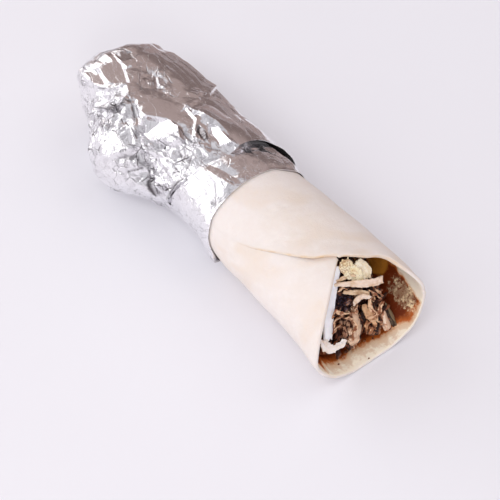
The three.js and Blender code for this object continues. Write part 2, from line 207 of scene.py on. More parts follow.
class Wire:
    # one output of a node: a sum written with it adds Math nodes
    def __init__(self, tree, socket=None):
        self.tree = tree
        self.socket = socket

    def node(self, kind, settings=None, inputs=None, output=0):
        made = self.tree.nodes.new(kind)
        for key, value in (settings or {}).items():
            setattr(made, key, value)
        for key, value in (inputs or {}).items():
            if isinstance(value, Wire):
                self.tree.links.new(value.socket, made.inputs[key])
            else:
                made.inputs[key].default_value = value
        return Wire(self.tree, made.outputs[output])

    def maths(self, operation, first, second):
        return self.node("ShaderNodeMath", {"operation": operation}, {0: first, 1: second})

    def __add__(self, other):
        return self.maths("ADD", self, other)

    def __radd__(self, other):
        return self.maths("ADD", other, self)

    def __sub__(self, other):
        return self.maths("SUBTRACT", self, other)

    def __rsub__(self, other):
        return self.maths("SUBTRACT", other, self)

    def __mul__(self, other):
        return self.maths("MULTIPLY", self, other)

    def __rmul__(self, other):
        return self.maths("MULTIPLY", other, self)

    def blend(self, low, high):
        # a colour from low to high as this value goes from 0 to 1
        inputs = {0: self, 6: asColour(low), 7: asColour(high)}
        return self.node("ShaderNodeMix", {"data_type": "RGBA"}, inputs, 2)

    def between(self, low, high):
        # 0 below low, 1 above high and smooth between them
        inputs = {0: self, 1: low, 2: high}
        return self.node("ShaderNodeMapRange", {"interpolation_type": "SMOOTHSTEP"}, inputs)


def asColour(value):
    return value if isinstance(value, Wire) else (*value, 1)


def rgb(red, green, blue):
    # a colour as seen on screen, 0 to 255, as the linear numbers that a shader takes
    return tuple(((v / 255 + 0.055) / 1.055) ** 2.4 if v > 10 else v / 3295 for v in (red, green, blue))


class Finish:
    # a material with one Principled shader
    def __init__(self, name, **fixed):
        self.material = bpy.data.materials.new(name)
        self.material.use_nodes = True
        self.tree = self.material.node_tree
        self.shader = self.tree.nodes["Principled BSDF"]
        self.wire = Wire(self.tree)
        self.place = self.wire.node("ShaderNodeTexCoord", output=3)
        self.set(**fixed)

    def set(self, **values):
        for key, value in values.items():
            socket = self.shader.inputs[key.replace("_", " ")]
            if isinstance(value, Wire):
                self.tree.links.new(value.socket, socket)
            else:
                socket.default_value = asColour(value) if socket.type == "RGBA" else value

    def vectors(self, operation, inputs, output=0):
        return self.wire.node("ShaderNodeVectorMath", {"operation": operation}, inputs, output)

    def spots(self, size, detail=3.0, roughness=0.55, distortion=0.0):
        # noise whose grains are about size millimetres
        inputs = {"Vector": self.place, "Scale": 1 / (size * millimetre), "Detail": detail,
                  "Roughness": roughness, "Distortion": distortion}
        return self.wire.node("ShaderNodeTexNoise", None, inputs)

    def cells(self, size, place, feature="F1", output=0):
        inputs = {"Vector": place, "Scale": 1 / (size * millimetre)}
        return self.wire.node("ShaderNodeTexVoronoi", {"feature": feature}, inputs, output)

    def creases(self, size, place, width):
        # 1 along the edges between cells and 0 inside them
        return 1 - self.cells(size, place, "DISTANCE_TO_EDGE").between(0.0, width)

    def drawn(self, turn, length, place):
        # places turned, and drawn together along Y, so that what is made at them is longer than wide
        inputs = {0: place, 2: turn, 3: (1, length, 1)}
        return self.wire.node("ShaderNodeMapping", {"vector_type": "TEXTURE"}, inputs)

    def bent(self, size, reach):
        # places pushed about by noise, so that lines made at them curve
        inputs = {"Vector": self.place, "Scale": 1 / (size * millimetre), "Detail": 1.0}
        push = self.wire.node("ShaderNodeTexNoise", None, inputs, 1)
        push = self.vectors("SUBTRACT", {0: push, 1: (0.5, 0.5, 0.5)})
        push = self.vectors("SCALE", {0: push, 3: reach * millimetre})
        return self.vectors("ADD", {0: self.place, 1: push})

    def planes(self, size, place):
        # how far each small plane of a crumpled sheet is tilted up or down at a point, in metres
        tilt = self.vectors("SUBTRACT", {0: self.cells(size, place, output=1), 1: (0.5, 0.5, 0.5)})
        local = self.vectors("SUBTRACT", {0: place, 1: self.cells(size, place, output=2)})
        return self.vectors("DOT_PRODUCT", {0: tilt, 1: local}, 1)

    def tone(self, size, place):
        # a number of its own for each cell
        return self.wire.node("ShaderNodeSeparateXYZ", None, {0: self.cells(size, place, output=1)}, 0)

    def mark(self, name):
        # a number that the mesh carries at each vertex
        return self.wire.node("ShaderNodeAttribute", {"attribute_name": name}, output=2)

    def bump(self, height, depth):
        # depth is in millimetres
        inputs = {"Height": height, "Distance": depth * millimetre, "Strength": 1.0}
        return self.wire.node("ShaderNodeBump", None, inputs)


breadColours = dict(
    dough=rgb(231, 222, 217),
    shadedDough=rgb(228, 217, 208),
    flour=rgb(235, 229, 227),
    toast=rgb(216, 180, 130),
    speck=rgb(214, 190, 168),
    oil=rgb(254, 242, 218),
    blotch=rgb(200, 148, 104),
    thinSauce=rgb(228, 175, 116),
    sauce=rgb(188, 98, 40),
    thickSauce=rgb(118, 46, 14),
    ochre=rgb(222, 146, 54),
    freckle=rgb(253, 230, 188),
)


def breadFinish():
    finish = Finish("soft flatbread")
    tint = breadColours
    broad = finish.spots(38, 2).between(0.3, 0.7)
    fine = finish.spots(5, 4).between(0.35, 0.75)
    speck = finish.spots(1.3, 2).between(0.62, 0.8)
    colour = broad.blend(tint["dough"], tint["shadedDough"])
    colour = (fine * 0.35).blend(colour, tint["flour"])
    # baking marks and the rim's tint, with painted shading along the seam
    colour = (finish.mark("toast") * (0.4 + 0.6 * fine)).blend(colour, tint["toast"])
    colour = (speck * 0.2).blend(colour, tint["speck"])
    # sauce that has soaked in: how many millimetres past its ragged edge a point is
    soak = finish.mark("stain") + 5 * (finish.spots(3.6, 4, 0.65) - 0.5) + 2 * (finish.spots(1.2, 2) - 0.5)
    # the dough short of the sauce's edge is painted brighter and warmer, as light
    near = (soak + 12 * (finish.spots(5, 3) - 0.5)).between(-22, -4)
    blotch = (soak + 22 * (finish.spots(3.4, 4, 0.65) - 0.5)).between(-7, -1)
    faint = soak.between(-3.6, 0.6)
    deep = soak.between(-0.6, 2.6)
    deepest = (soak + 6 * (finish.spots(7, 2) - 0.5)).between(2.6, 7)
    sauce = deepest.blend(deep.blend(tint["thinSauce"], tint["sauce"]), tint["thickSauce"])
    ochre = (finish.mark("ochre") + 0.5 * (finish.spots(3, 2) - 0.5)).between(0.35, 0.6)
    sauce = (ochre * deep).blend(sauce, tint["ochre"])
    freckles = (finish.mark("pale") * 0.3 + finish.spots(1.7, 4, 0.75)).between(0.66, 0.84)
    sauce = (freckles * (0.25 + 0.7 * finish.spots(5, 2).between(0.4, 0.6))).blend(sauce, tint["freckle"])
    # painted light on the dough short of the sauce
    colour = (near * 0.8).blend(colour, tint["oil"])
    colour = (blotch * 0.45).blend(colour, tint["blotch"])
    colour = (0.3 * faint + 0.7 * deep).blend(colour, sauce)
    finish.set(Base_Color=colour, Roughness=0.66 - 0.3 * deep)
    pores = finish.spots(0.9, 3, 0.6) * 0.5 + finish.spots(4.5, 3) * 1.2
    finish.set(Normal=finish.bump(pores + deep * finish.spots(1.7, 3, 0.75, 0.6), 0.28))
    finish.set(Subsurface_Weight=0.08, Subsurface_Radius=(1.0, 0.7, 0.45), Subsurface_Scale=0.002)
    return finish.material


foilColours = dict(
    bright=rgb(251, 250, 252),
    # painted dull reflection on facets
    dullFacet=rgb(182, 178, 183),
    # painted shade along fine and deep wrinkle creases
    fineCrease=rgb(172, 167, 172),
    deepCrease=rgb(104, 98, 102),
    # painted shade over chosen creases and faces
    shade=rgb(76, 68, 72),
    # painted shade inside the pocket under the flap
    pocket=rgb(58, 50, 51),
)


def foilFinish():
    finish = Finish("crumpled foil")
    tint = foilColours
    pocket, work, shade = finish.mark("pocket"), finish.mark("crumple"), finish.mark("shade")
    # wrinkles are thin lines, longer than wide, that come in drifts; their creases are painted darker as
    # shade
    curved = finish.bent(12, 6)
    one, other = finish.drawn((0.7, 0, 0.5), 2.8, curved), finish.drawn((-0.6, 0, -0.3), 2.4, curved)
    drift = finish.spots(13, 2).between(0.4, 0.6)
    fine = finish.creases(3.2, one, 0.1) * (0.06 + 0.5 * drift) * work
    fine = fine * finish.spots(4, 2).between(0.4, 0.6)
    strong = finish.creases(7, other, 0.05) * work
    strong = strong * finish.spots(6, 2).between(0.48, 0.6)
    # painted dull reflections: some facets are painted darker, as if they mirrored something darker
    facet = finish.tone(2.4, other).between(0.7, 0.95) * 0.5 + finish.tone(6, one).between(0.7, 0.9) * 0.3
    colour = (facet * work).blend(tint["bright"], tint["dullFacet"])
    colour = fine.blend(colour, tint["fineCrease"])
    colour = (strong * 0.9).blend(colour, tint["deepCrease"])
    # painted shade over the creases and faces that foilShade marks
    colour = shade.blend(colour, tint["shade"])
    # the pocket is painted dark, as the shade under the flap, and made less metallic
    finish.set(Base_Color=pocket.blend(colour, tint["pocket"]))
    finish.set(Metallic=1 - 0.75 * pocket, Roughness=0.1 + 0.12 * finish.spots(9, 2))
    height = 0.05 * finish.spots(1.4, 3, 0.6) * work
    height = height + finish.planes(6, other) * (0.3 / millimetre) * work
    height = height + finish.planes(2.2, one) * (0.24 / millimetre) * work * (0.35 + 0.65 * drift)
    height = height - (0.3 * fine + 0.5 * strong + 0.3 * shade)
    finish.set(Normal=finish.bump(height, 1.0))
    return finish.material


# Flatbread.

bread = dict(
    wall=2.2,
    columns=320,
    outerRows=120,
    innerRows=98,
    rimRows=6,
    shownTo=112,  # the fine rows end at this Y on the outside, and at the next one on the inside
    innerShown=100,
    lipReach=3.8,  # how far the lower lip stands out
    # the left flap's corner lies so far left of the middle; the right flap's edge is Y by X
    leftFlapTip=1.5,
    rightEdgeAt=curveThrough([(0, 31.6), (7, 28.4), (14, 25), (25, 20.6), (31, 11), (36, 4.4), (42, 0)]),
    underlapTo=14,  # the angle at which the left flap ends under the right one
    underSink=0.45,  # how far it is pressed in there, and from which angle on
    underFrom=-9,
    seamStep=1.9,  # how far the right flap's edge stands up, and over how many degrees
    seamBlend=26,
    seamFade=(30, 68),  # between these Y it is pressed flat
    seamReach=150,  # so many degrees to either side lean with the seam
    seamThinning=0.97,  # how much of its thickness the pressed edge loses
    seamGap=0.02,
    seamDegree=0.58,  # how many millimetres a degree is at the edges of the flaps
    # how near the rim the sauce comes on the inner wall, by the angle round it from 0 to 360
    stainAt=curveThrough([(50, 42), (78, 33), (88, 27), (96, 17), (101, 7), (106, 1.5), (116, -1.5),
                          (131, -1), (140, 1.6), (153, 3), (171, 4.6), (186, 5.6), (196, 6), (202, 4.4),
                          (210, 4.6), (222, 4.4), (236, 5), (252, 7.5), (266, 14), (300, 32)]),
    # an ochre patch in the sauce and one with pale specks: their middles and half sizes, as (angle, Y)
    ochrePlace=(98, 41),
    ochreSize=(26, 12),
    palePlace=(113, 12),
    paleSize=(17, 13),
    toastShare=0.26,  # how strong the baking marks are, and the tint along the right flap's edge
    seamTint=0.7,
    waveHeight=0.45,
    # where the sheet is finely wrinkled: angle, Y and how far around
    wrinkled=[(40, 80, 12), (20, 62, 10), (-4, 66, 8), (-30, 52, 7)],
    wrinkleHeight=0.16,
)


def breadMarks(angle, y, depth):
    # sauce on the inner wall, an ochre patch in it, pale specks, and baking marks on the outside
    around = np.mod(angle, 360)
    across = around * degreeLength
    inside = rise(depth, 0.75, 1)

    def streaks(width, length, seed):
        return flatNoise(across / width, y / length, seed)

    def patch(place, size):
        return np.exp(-((around - place[0]) / size[0]) ** 4 - ((y - place[1]) / size[1]) ** 4)

    ragged = 1.2 * streaks(4.6, 11, 5) + 0.5 * streaks(1.4, 5, 6)
    # long streaks in the left corner of the mouth and blots in the right one
    ragged = ragged + 4 * streaks(1.9, 30, 9) * bandShare(around, 214, 226, 284, 296)
    ragged = ragged + 5 * streaks(3.5, 3.5, 12) * (1 - rise(around, 104, 118))
    stain = mix(-22, np.clip(y - bread["stainAt"](around) + ragged, -9.5, 12), inside)
    ochre = inside * patch(bread["ochrePlace"], bread["ochreSize"])
    pale = inside * patch(bread["palePlace"], bread["paleSize"])
    toast = (1 - inside) * bread["toastShare"] * rise(streaks(11, 13, 8), 0.1, 0.8)
    return toast, stain, ochre, pale


def breadRim(angle, hidden):
    # how far along Y the sheet's edge lies at an angle round the mouth
    across = roll["halfWidthAt"](0) * sines(angle)
    tip = bread["leftFlapTip"]
    left = roll["apexY"] * (1 - (-across - tip) / (roll["halfWidthAt"](0) - tip))
    left = np.where(hidden, left, np.minimum(left, roll["apexY"]))
    lip = -bread["lipReach"] * rise(np.abs(angle), 90, 140)
    side = np.where((angle < 0) | hidden, np.maximum(left, 0), bread["rightEdgeAt"](across))
    return np.where(np.abs(angle) > 90, lip, side)


def roundedOff(distance, radius):
    # how much of its half thickness a rounded edge lacks at a distance from its tip
    return 1 - np.sqrt(1 - (1 - np.clip(distance / radius, 0, 1)) ** 2)


def breadRowList():
    # rows run from the far pole along the outside, round the rim and back along the inside: each has its
    # depth in the sheet, how far the rim's nose bulges there, how far along the shown and the hidden
    # length it lies, and its angle round the closed end
    domes = roll["domeAngles"]
    rows = [(0, 0, 1, 1, dome) for dome in reversed(domes)]
    rows += [(0, 0, 1, share, 0) for share in (1, 0.7, 0.4, 0.2, 0.08)]
    rows += [(0, 0, share, 0, 0) for share in np.linspace(1, 0, bread["outerRows"])]
    for k in range(1, bread["rimRows"]):
        turn = math.pi * k / bread["rimRows"]
        rows.append((0.5 - 0.5 * math.cos(turn), math.sin(turn), 0, 0, 0))
    rows += [(1, 0, share, 0, 0) for share in np.linspace(0, 1, bread["innerRows"])]
    rows += [(1, 0, 1, share, 0) for share in (0.1, 0.3, 0.6, 1)]
    rows += [(1, 0, 1, 1, dome) for dome in domes]
    return np.array(rows)


breadRows = breadRowList()


def breadPoints(column, row):
    wall = bread["wall"]
    seamMouth = roll["seamAt"](roll["apexY"])
    turn = mix(bread["underlapTo"], seamMouth - 360, column / bread["columns"])
    angle = np.where(turn < -180, turn + 360, turn)
    hidden = turn > seamMouth
    outer = turn < -180
    depth, nose, share, hiddenShare, dome = breadRows[row].T
    front = breadRim(angle, hidden) + wall / 2 * (1 - nose)
    shownTo = mix(bread["shownTo"], bread["innerShown"], depth)
    y = mix(mix(front, shownTo, share), roll["domeStart"], hiddenShare)

    # the right flap's edge lies over the left flap, which runs on under it
    lean = roll["seamAt"](np.maximum(y, roll["apexY"])) - seamMouth
    place = angle + lean * (1 - rise(np.abs(angle - seamMouth), 0, bread["seamReach"]))
    fromSeam = np.where(outer, turn - (seamMouth - 360), np.maximum(turn - seamMouth, 0))
    pressed = rise(y, *bread["seamFade"])
    lift = bread["seamStep"] * (1 - rise(fromSeam, 0, bread["seamBlend"])) * (1 - pressed)
    thin = wall * (1 - bread["seamThinning"] * pressed * (1 - rise(fromSeam, 0, 10)))
    edge = thin / 2 * roundedOff(fromSeam * bread["seamDegree"], thin / 2)
    sunk = -bread["underSink"] * rise(turn, bread["underFrom"], seamMouth) * (1 - pressed)
    under = np.where(hidden, np.minimum(lift - thin + edge - bread["seamGap"], sunk), sunk)
    underEdge = wall / 2 * roundedOff((bread["underlapTo"] - turn) * bread["seamDegree"], wall / 2)
    top = np.where(outer, lift - edge, under - underEdge)
    base = np.where(outer, lift - thin + edge, under - wall + underEdge)

    # soft waves and patches of fine wrinkles, which both faces follow
    shown = bandShare(y, -2, 12, 84, 100)
    above = 1 - rise(np.abs(angle), 90, 125)
    waves = np.sin(y / 9 + 2 * sines(angle)) * np.cos(np.radians(angle * 3) + y / 21)
    relief = bread["waveHeight"] * waves * above * shown
    across = angle * degreeLength
    wrinkles = ridged(across / 3.4 + 0.5 * np.sin(y / 4), y / 4.6 + across / 9, 0 * y, 15)
    for a, v, reach in bread["wrinkled"]:
        away = np.hypot((angle - a) * degreeLength, y - v) / reach
        relief = relief + bread["wrinkleHeight"] * wrinkles * (1 - rise(away, 0.2, 1)) * shown
    offset = mix(top, base, depth) + relief * (1 - depth * np.where(outer, thin / wall, 1))

    toast, *marks = breadMarks(angle, y, depth)
    # a yellowish line painted along the seam as its shading; the rim is tinted the same way
    line = outer * (1 - rise(fromSeam, 0.5, 3.2)) * (1 - depth) * bandShare(y, 30, 36, 64, 86)
    rim = bandShare(depth, 0.05, 0.3, 0.8, 1) * bandShare(angle, -30, -10, 36, 60)
    toast = toast + bread["seamTint"] * np.maximum(line, rim)
    return (rollPoint(place, y, offset, breadFloor(y), dome), toast, *marks)


print("flatbread")
breadLayers = ("toast", "stain", "ochre", "pale")
flatbread = gridMesh("flatbread_roll", bread["columns"], len(breadRows) - 1, breadPoints, breadLayers)
dress(flatbread, breadFinish(), "bread", "flatbread")


# Foil.

foil = dict(
    columns=340,
    collarRows=34,
    mainRows=138,
    endRows=46,
    gather=20,  # how many degrees its columns are pushed towards the side that is most crumpled
    girth=236,  # the length round it that its facets are fitted to
    innerGap=0.7,  # the least that it lies off the bread
    collarEdgeAt=curveThrough([(-180, 100), (-125, 97), (-109, 95.5), (-95, 99), (-84, 101.5), (-70, 103.4),
                               (-55, 105.6), (21, 106), (40, 102.4), (70, 102), (110, 102), (180, 100)]),
    collarLift=(0.5, 1.2),  # how far the collar lies off the bread at its edge and further in
    # how far the main sheet lies off the bread on each side, by Y, and where its front edge runs
    leftAt=curveThrough([(118, 1.6), (142, 2), (158, 6.5), (177, 18), (194, 19.5), (216, 9), (231, 1.5)]),
    rightAt=curveThrough([(118, 1.2), (160, 3), (200, 5.6), (222, 5.2), (231, 3.5)]),
    topAt=curveThrough([(118, 2.6), (150, 4.6), (200, 6), (222, 5.6), (231, 4.4)]),
    frontAt=curveThrough([(-180, 131), (-92, 141), (-57, 136.5), (-44, 133), (0, 128), (31, 128.5),
                          (50, 124), (75, 117), (110, 114), (140, 122), (180, 131)]),
    leastLift=1,
    bellyLift=3.5,  # the most that it lies off the underside
    # between these angles the front edge lies close on the collar: from, fully from, fully to, and to
    hugs=[(-56, -44, -4, 14), (-182, -181, -102, -90)],
    hugLift=0.35,
    hugLength=16,
    flapHeight=2.8,  # the part of the front edge that stands up
    flapAngles=(4, 62, 96, 128),
    flapFade=(128, 160),
    grooveDepth=(1.4, 10),  # how far the collar runs in under the sheet, least and where the flap stands
    endY=231,  # the folded end: where it starts, how high its middle lies and how far it bulges
    endMiddle=25,
    endDepth=13,
    earReach=8,  # the corner that sticks out of the folded end
    earPlace=(-15, 41),
    earSize=(15, 6.5),
    earLean=0.3,
    # places that are worked more or less than the rest: angle, Y, their half sizes, and by how much
    worked=[(3, 202, 13, 15, 0.75), (-14, 146, 14, 10, 0.9), (-12, 180, 16, 12, -0.3),
            (46, 204, 14, 24, -0.3), (26, 152, 14, 16, -0.25), (32, 180, 10, 8, 0.4),
            (-60, 224, 40, 10, 0.2), (-45, 209, 12, 8, 0.4), (-38, 229, 22, 9, -1.2),
            (0, 146, 8, 12, -0.5), (-31, 168, 12, 9, -0.5), (-40, 146, 12, 10, 0.4),
            (-36, 166, 10, 9, -0.4), (-54, 187, 14, 9, -0.3)],
    # its large planes hang between these lines of (angle, Y, height), and between stray points
    creases=[[(-66, 236, 1.4), (-54, 231, 3.2), (-34, 228, 3.4), (-21, 208, 2.8), (-28, 192, 3),
              (-28, 179, 3), (-22, 168, 2.4), (-15, 154, 1.8), (-11, 142, 1.2), (-12, 130, 0.4)],
             [(-30, 250, 0), (-14, 224, -0.6), (2, 210, -0.4), (0, 190, -1.2), (3, 171, -0.8), (0, 158, 0.2),
              (-5, 150, 0.6)],
             [(29, 242, -0.3), (29, 222, -0.6), (30, 204, -0.7), (29, 186, -0.6), (28, 165, -0.4),
              (27, 148, -0.2)],
             [(38, 242, -0.1), (38, 222, -0.3), (39, 204, -0.3), (38, 186, -0.3), (37, 165, 0),
              (36, 146, 0)],
             [(47, 242, 0.6), (47, 222, 0.8), (48, 204, 0.8), (47, 186, 0.8), (46, 165, 0.8),
              (44, 142, 0.6)],
             [(56, 242, 2), (56, 222, 2.7), (57, 204, 2.9), (56, 186, 2.7), (55, 165, 2.5), (52, 140, 1.6)],
             [(66, 242, -1.4), (67, 204, -1.6), (66, 160, -1.6), (63, 134, -1)],
             [(-100, 178, 1.4), (-78, 186, 1.6), (-62, 196, 1.2), (-44, 204, 0.4), (-21, 208, 2.8)],
             [(-110, 214, -0.6), (-86, 206, -1), (-68, 212, -1.2), (-50, 214, -1)],
             [(-28, 192, 3), (-36, 182, -0.2), (-46, 171, 0.4), (-60, 166, 1.2)],
             [(-56, 166, -1), (-68, 159, -2.2), (-82, 154, -2.6), (-98, 149, -1.2)],
             [(-68, 150, 1.4), (-84, 146, 1.6), (-90, 138, 0.4)],
             [(-44, 150, -0.8), (-36, 142, 0.6), (-24, 136, -0.6)],
             [(92, 232, 1.4), (88, 204, 0.2), (94, 176, 1.2), (88, 150, 0), (90, 126, 0.6)]],
    strayCount=260,  # so many stray points are tried between these Y, and kept where no other is near
    strayBetween=(108, 262),
    strayGap=8.5,
    strayHeight=1.5,
    # creases pressed in by hand: a path of (angle, Y), height, and how far it falls to either side
    folds=[([(3, 170), (0, 158), (-9, 152), (-16, 144), (-16, 134)], 1.4, 2.4, 1.6),
           ([(8, 159), (11, 150), (11, 141), (7, 131)], 3, 13, 4.8),
           ([(5, 171), (20, 173), (24, 177), (38, 177), (60, 186)], 1.6, 8, 1.6),
           ([(-27, 192), (-34, 184), (-38, 177), (-47, 170)], -1.6, 2, 3),
           ([(-69, 175), (-62, 170), (-56, 165)], -1.8, 4, 2),
           ([(-56, 166), (-66, 160), (-80, 154), (-98, 149)], -4, 2.6, 7),
           ([(-57, 214), (-49, 206), (-44, 199), (-35, 194.5), (-30, 196)], 3, 5, 1.6),
           ([(-46, 228), (-40, 219), (-34, 212), (-26, 208)], 1.8, 3, 1.6)],
    collarFolds=[([(41, 134), (50, 122), (52, 112), (50, 103)], 1.5, 8, 6),
                 ([(21, 132), (21, 122)], -0.7, 5, 5),
                 ([(-32, 120), (-39, 113), (-48, 106)], -0.6, 1.2, 5),
                 ([(-34, 136), (-27, 124), (-20, 106)], 2, 5, 9)],
    # faces pressed flat: corners of (angle, Y), the way they face and how far they tilt that way
    presses=[([(-60, 236), (-52, 240.5), (-31, 233.8), (-28, 231.5), (-28, 214), (-44, 223.5)], -175, 8),
             ([(-33.5, 216.5), (-33.5, 232), (-18, 232), (-6, 231), (-18.4, 206)], 180, 5),
             ([(-29, 179), (-17, 168), (-15, 158), (-22, 151), (-32, 153), (-42, 166), (-42, 178)],
              -120, 27),
             ([(-7, 238), (1, 234.5), (8, 230.5), (16, 228), (-4, 218), (-11, 218.5), (-10, 230)], 170, 12),
             ([(-1.6, 147), (4.6, 152.5), (8.4, 146), (9.8, 129.5), (-2, 135)], -105, 30),
             ([(-9.5, 150), (-4, 155), (3.4, 152.5), (-2.2, 146.5), (-2.6, 137.6), (-10, 143)], -127, 19)],
    pressEdge=0.9,  # the pressed faces' edges blend over this much, and nothing is pressed further than:
    pressReach=4,
    # faces painted darker, as shade and as dull reflections: corners and how dark
    darkFaces=[([(-7, 238), (1, 234.5), (8, 230.5), (4, 224), (-8, 226)], 0.4),
               ([(-47, 203), (-39, 199.5), (-33, 193), (-39, 195)], 0.7),
               ([(-36, 200.5), (-30, 196.3), (-25, 195.5), (-29, 192.3)], 0.7),
               ([(-32.6, 209.5), (-29.5, 199.5), (-34, 204)], 0.7),
               ([(-63, 174.5), (-60, 169.5), (-64.5, 168), (-69, 172)], 0.5),
               ([(-9.5, 150), (-4, 155), (3.4, 152.5), (-2.2, 146.5), (-2.6, 137.6), (-10, 143)], 0.72),
               ([(-119, 97), (-117, 102), (-124, 112), (-133, 116), (-126, 106)], 0.8)],
    # painted shade along creases: a path of (angle, Y), half its width, and how dark it is
    darkLines=[([(-57, 214), (-49, 206), (-44, 199), (-40, 195), (-35, 194.5), (-30, 196)], 1.5, 0.75),
               ([(-45, 203), (-38, 199), (-33, 199)], 1.6, 0.55),
               ([(-29.5, 191.5), (-34, 187), (-40, 181)], 0.9, 0.85),
               ([(-43, 181), (-45, 176), (-47, 173)], 0.8, 0.9),
               ([(-69, 176), (-65, 172), (-61, 168.5)], 1.6, 0.6),
               ([(-63, 176.5), (-58, 173.5)], 0.6, 0.7),
               ([(-77, 168.5), (-72, 165), (-68, 163)], 0.7, 0.8),
               ([(-61, 168), (-68, 162)], 0.6, 0.6),
               ([(-80, 229), (-82, 224)], 0.8, 0.6),
               ([(-71, 206), (-74, 202)], 0.8, 0.7),
               ([(-36, 207), (-30, 203), (-32, 207)], 0.9, 0.6),
               ([(-44, 222), (-37, 215)], 0.7, 0.6),
               ([(-32, 240), (-20, 243), (-6, 243.4), (2, 236), (9, 231.5)], 1.2, 0.8),
               ([(-86, 141.5), (-66, 139), (-58, 138), (-49, 136)], 1.4, 0.85),
               ([(-45, 138.5), (-36, 139), (-27, 142)], 0.8, 0.7),
               ([(-43, 147), (-36, 143), (-30, 146)], 0.7, 0.6),
               ([(-28, 161), (-24, 153), (-22, 146)], 0.9, 0.6),
               ([(-17, 158), (-19, 150), (-16, 144)], 0.9, 0.6),
               ([(-48, 153), (-44, 146), (-39, 141)], 0.6, 0.6),
               ([(-14, 140), (-9, 136), (-4, 133)], 0.8, 0.5),
               ([(-30, 119), (-38, 113), (-48, 107.5)], 0.5, 0.7),
               ([(-64, 163), (-74, 160), (-84, 157), (-92, 155), (-99, 153.4)], 1.1, 0.8),
               ([(-81, 158.6), (-88, 156.6), (-94, 155), (-101, 153.4)], 2, 0.95),
               ([(-84, 155), (-90, 153.6), (-97, 152.4)], 1.2, 0.8)],
    flare=(-110, 7, 2.6),  # where the collar's edge stands off the bread: angle, half its width and height
    flareLength=9,
)


def facets(along, y, cell, steep, seed):
    # planes of crumpled foil: the lowest of the flat-sided dents round scattered sites
    columns = max(3, round(foil["girth"] / cell))
    width = foil["girth"] / columns
    column, line = np.floor(along / width), np.floor(y / cell)
    best = np.full(np.shape(along), 1e9)
    for stepU in (-1, 0, 1):
        for stepV in (-1, 0, 1):
            siteColumn = np.mod(column + stepU, columns)
            siteLine = line + stepV
            across = along - (column + stepU + chance(siteColumn, siteLine, seed)) * width
            down = y - (siteLine + chance(siteColumn, siteLine, seed + 1)) * cell
            turn = chance(siteColumn, siteLine, seed + 2) * 2 * math.pi
            slope = mix(*steep, chance(siteColumn, siteLine, seed + 3))
            height = np.full(np.shape(along), -1e9)
            for side in range(4):
                facing = turn + math.pi / 2 * side + 0.7 * chance(siteColumn, siteLine, seed + 4 + side)
                height = np.maximum(height, np.cos(facing) * across + np.sin(facing) * down)
            best = np.minimum(best, slope * height + 0.12 * cell * chance(siteColumn, siteLine, seed + 9))
    return best


def flapShare(angle):
    return bandShare(angle, *foil["flapAngles"])


def flareShare(angle):
    middle, half, _ = foil["flare"]
    return np.exp(-((angle - middle) / half) ** 2)


def roundGirth(angle):
    # how far round the sheet a point lies, in millimetres
    return np.mod(foil["girth"] * (angle + 180) / 360, foil["girth"])


def foilWork(angle, y):
    # how strongly the foil is crumpled: most on the left, least on the broad top planes
    left, right = bandShare(-angle, 20, 44, 150, 178), bandShare(angle, 70, 95, 150, 178)
    work = 0.2 + 0.85 * left * rise(y, 126, 150) + 0.3 * right
    work = work * (0.4 + 0.8 * rise(flatNoise(angle / 24, y / 15, 41), -0.35, 0.35))
    for a, v, wide, long, more in foil["worked"]:
        work = work + more * np.exp(-((angle - a) / wide) ** 2 - ((y - v) / long) ** 2)
    return np.clip(work, 0.06, 1.15)


def toPath(angle, y, path):
    # how far a point lies from a path on the foil, in millimetres, on which side, and how far along it
    nearest = np.full(np.shape(angle), 1e9)
    side, along = np.zeros(np.shape(angle)), np.zeros(np.shape(angle))
    for step, ((a0, y0), (a1, y1)) in enumerate(zip(path, path[1:])):
        dx, dy = (a1 - a0) * degreeLength, y1 - y0
        px, py = (angle - a0) * degreeLength, y - y0
        share = np.clip((px * dx + py * dy) / (dx * dx + dy * dy), 0, 1)
        distance = np.hypot(px - share * dx, py - share * dy)
        closer = distance < nearest
        nearest = np.where(closer, distance, nearest)
        side = np.where(closer, np.sign(dx * py - dy * px), side)
        along = np.where(closer, (step + share) / (len(path) - 1), along)
    return nearest, side, along


def fold(angle, y, path, height, left, right):
    # a crease along a path, whose two planes fall away to its left and right
    nearest, side, _ = toPath(angle, y, path)
    return height * np.maximum(0, 1 - nearest / np.where(side > 0, left, right))


def insideFace(angle, y, corners):
    # how far inside a face a point lies, in millimetres
    flat = [(a * degreeLength, v) for a, v in corners]
    turning = sum(x0 * y1 - x1 * y0 for (x0, y0), (x1, y1) in zip(flat, flat[1:] + flat[:1]))
    inside = np.full(np.shape(angle), 1e9)
    for (x0, y0), (x1, y1) in zip(flat, flat[1:] + flat[:1]):
        dx, dy = x1 - x0, y1 - y0
        away = (dx * (y - y0) - dy * (angle * degreeLength - x0)) / math.hypot(dx, dy)
        inside = np.minimum(inside, away * np.sign(turning))
    return inside


def foilShade(angle, y):
    # shade painted along creases and over faces: creases are pointed, and fade more softly to one side
    shade = np.zeros(np.shape(angle))
    for path, width, strength in foil["darkLines"]:
        nearest, side, along = toPath(angle, y, path)
        ragged = 1 + 0.4 * flatNoise(angle / 2, y / 1.6, 21)
        wide = width * (0.2 + 0.9 * np.sin(math.pi * along) ** 0.7) * ragged
        crease = 1 - rise(nearest, 0.1 * wide, 0.75 * wide)
        soft = 0.45 * (side > 0) * (1 - rise(nearest, 0, 2.6 * wide))
        shade = np.maximum(shade, strength * np.maximum(crease, soft))
    for corners, strength in foil["darkFaces"]:
        ragged = 0.5 * flatNoise(angle / 2, y / 1.6, 22)
        shade = np.maximum(shade, strength * rise(insideFace(angle, y, corners) + ragged, -0.3, 0.5))
    return shade


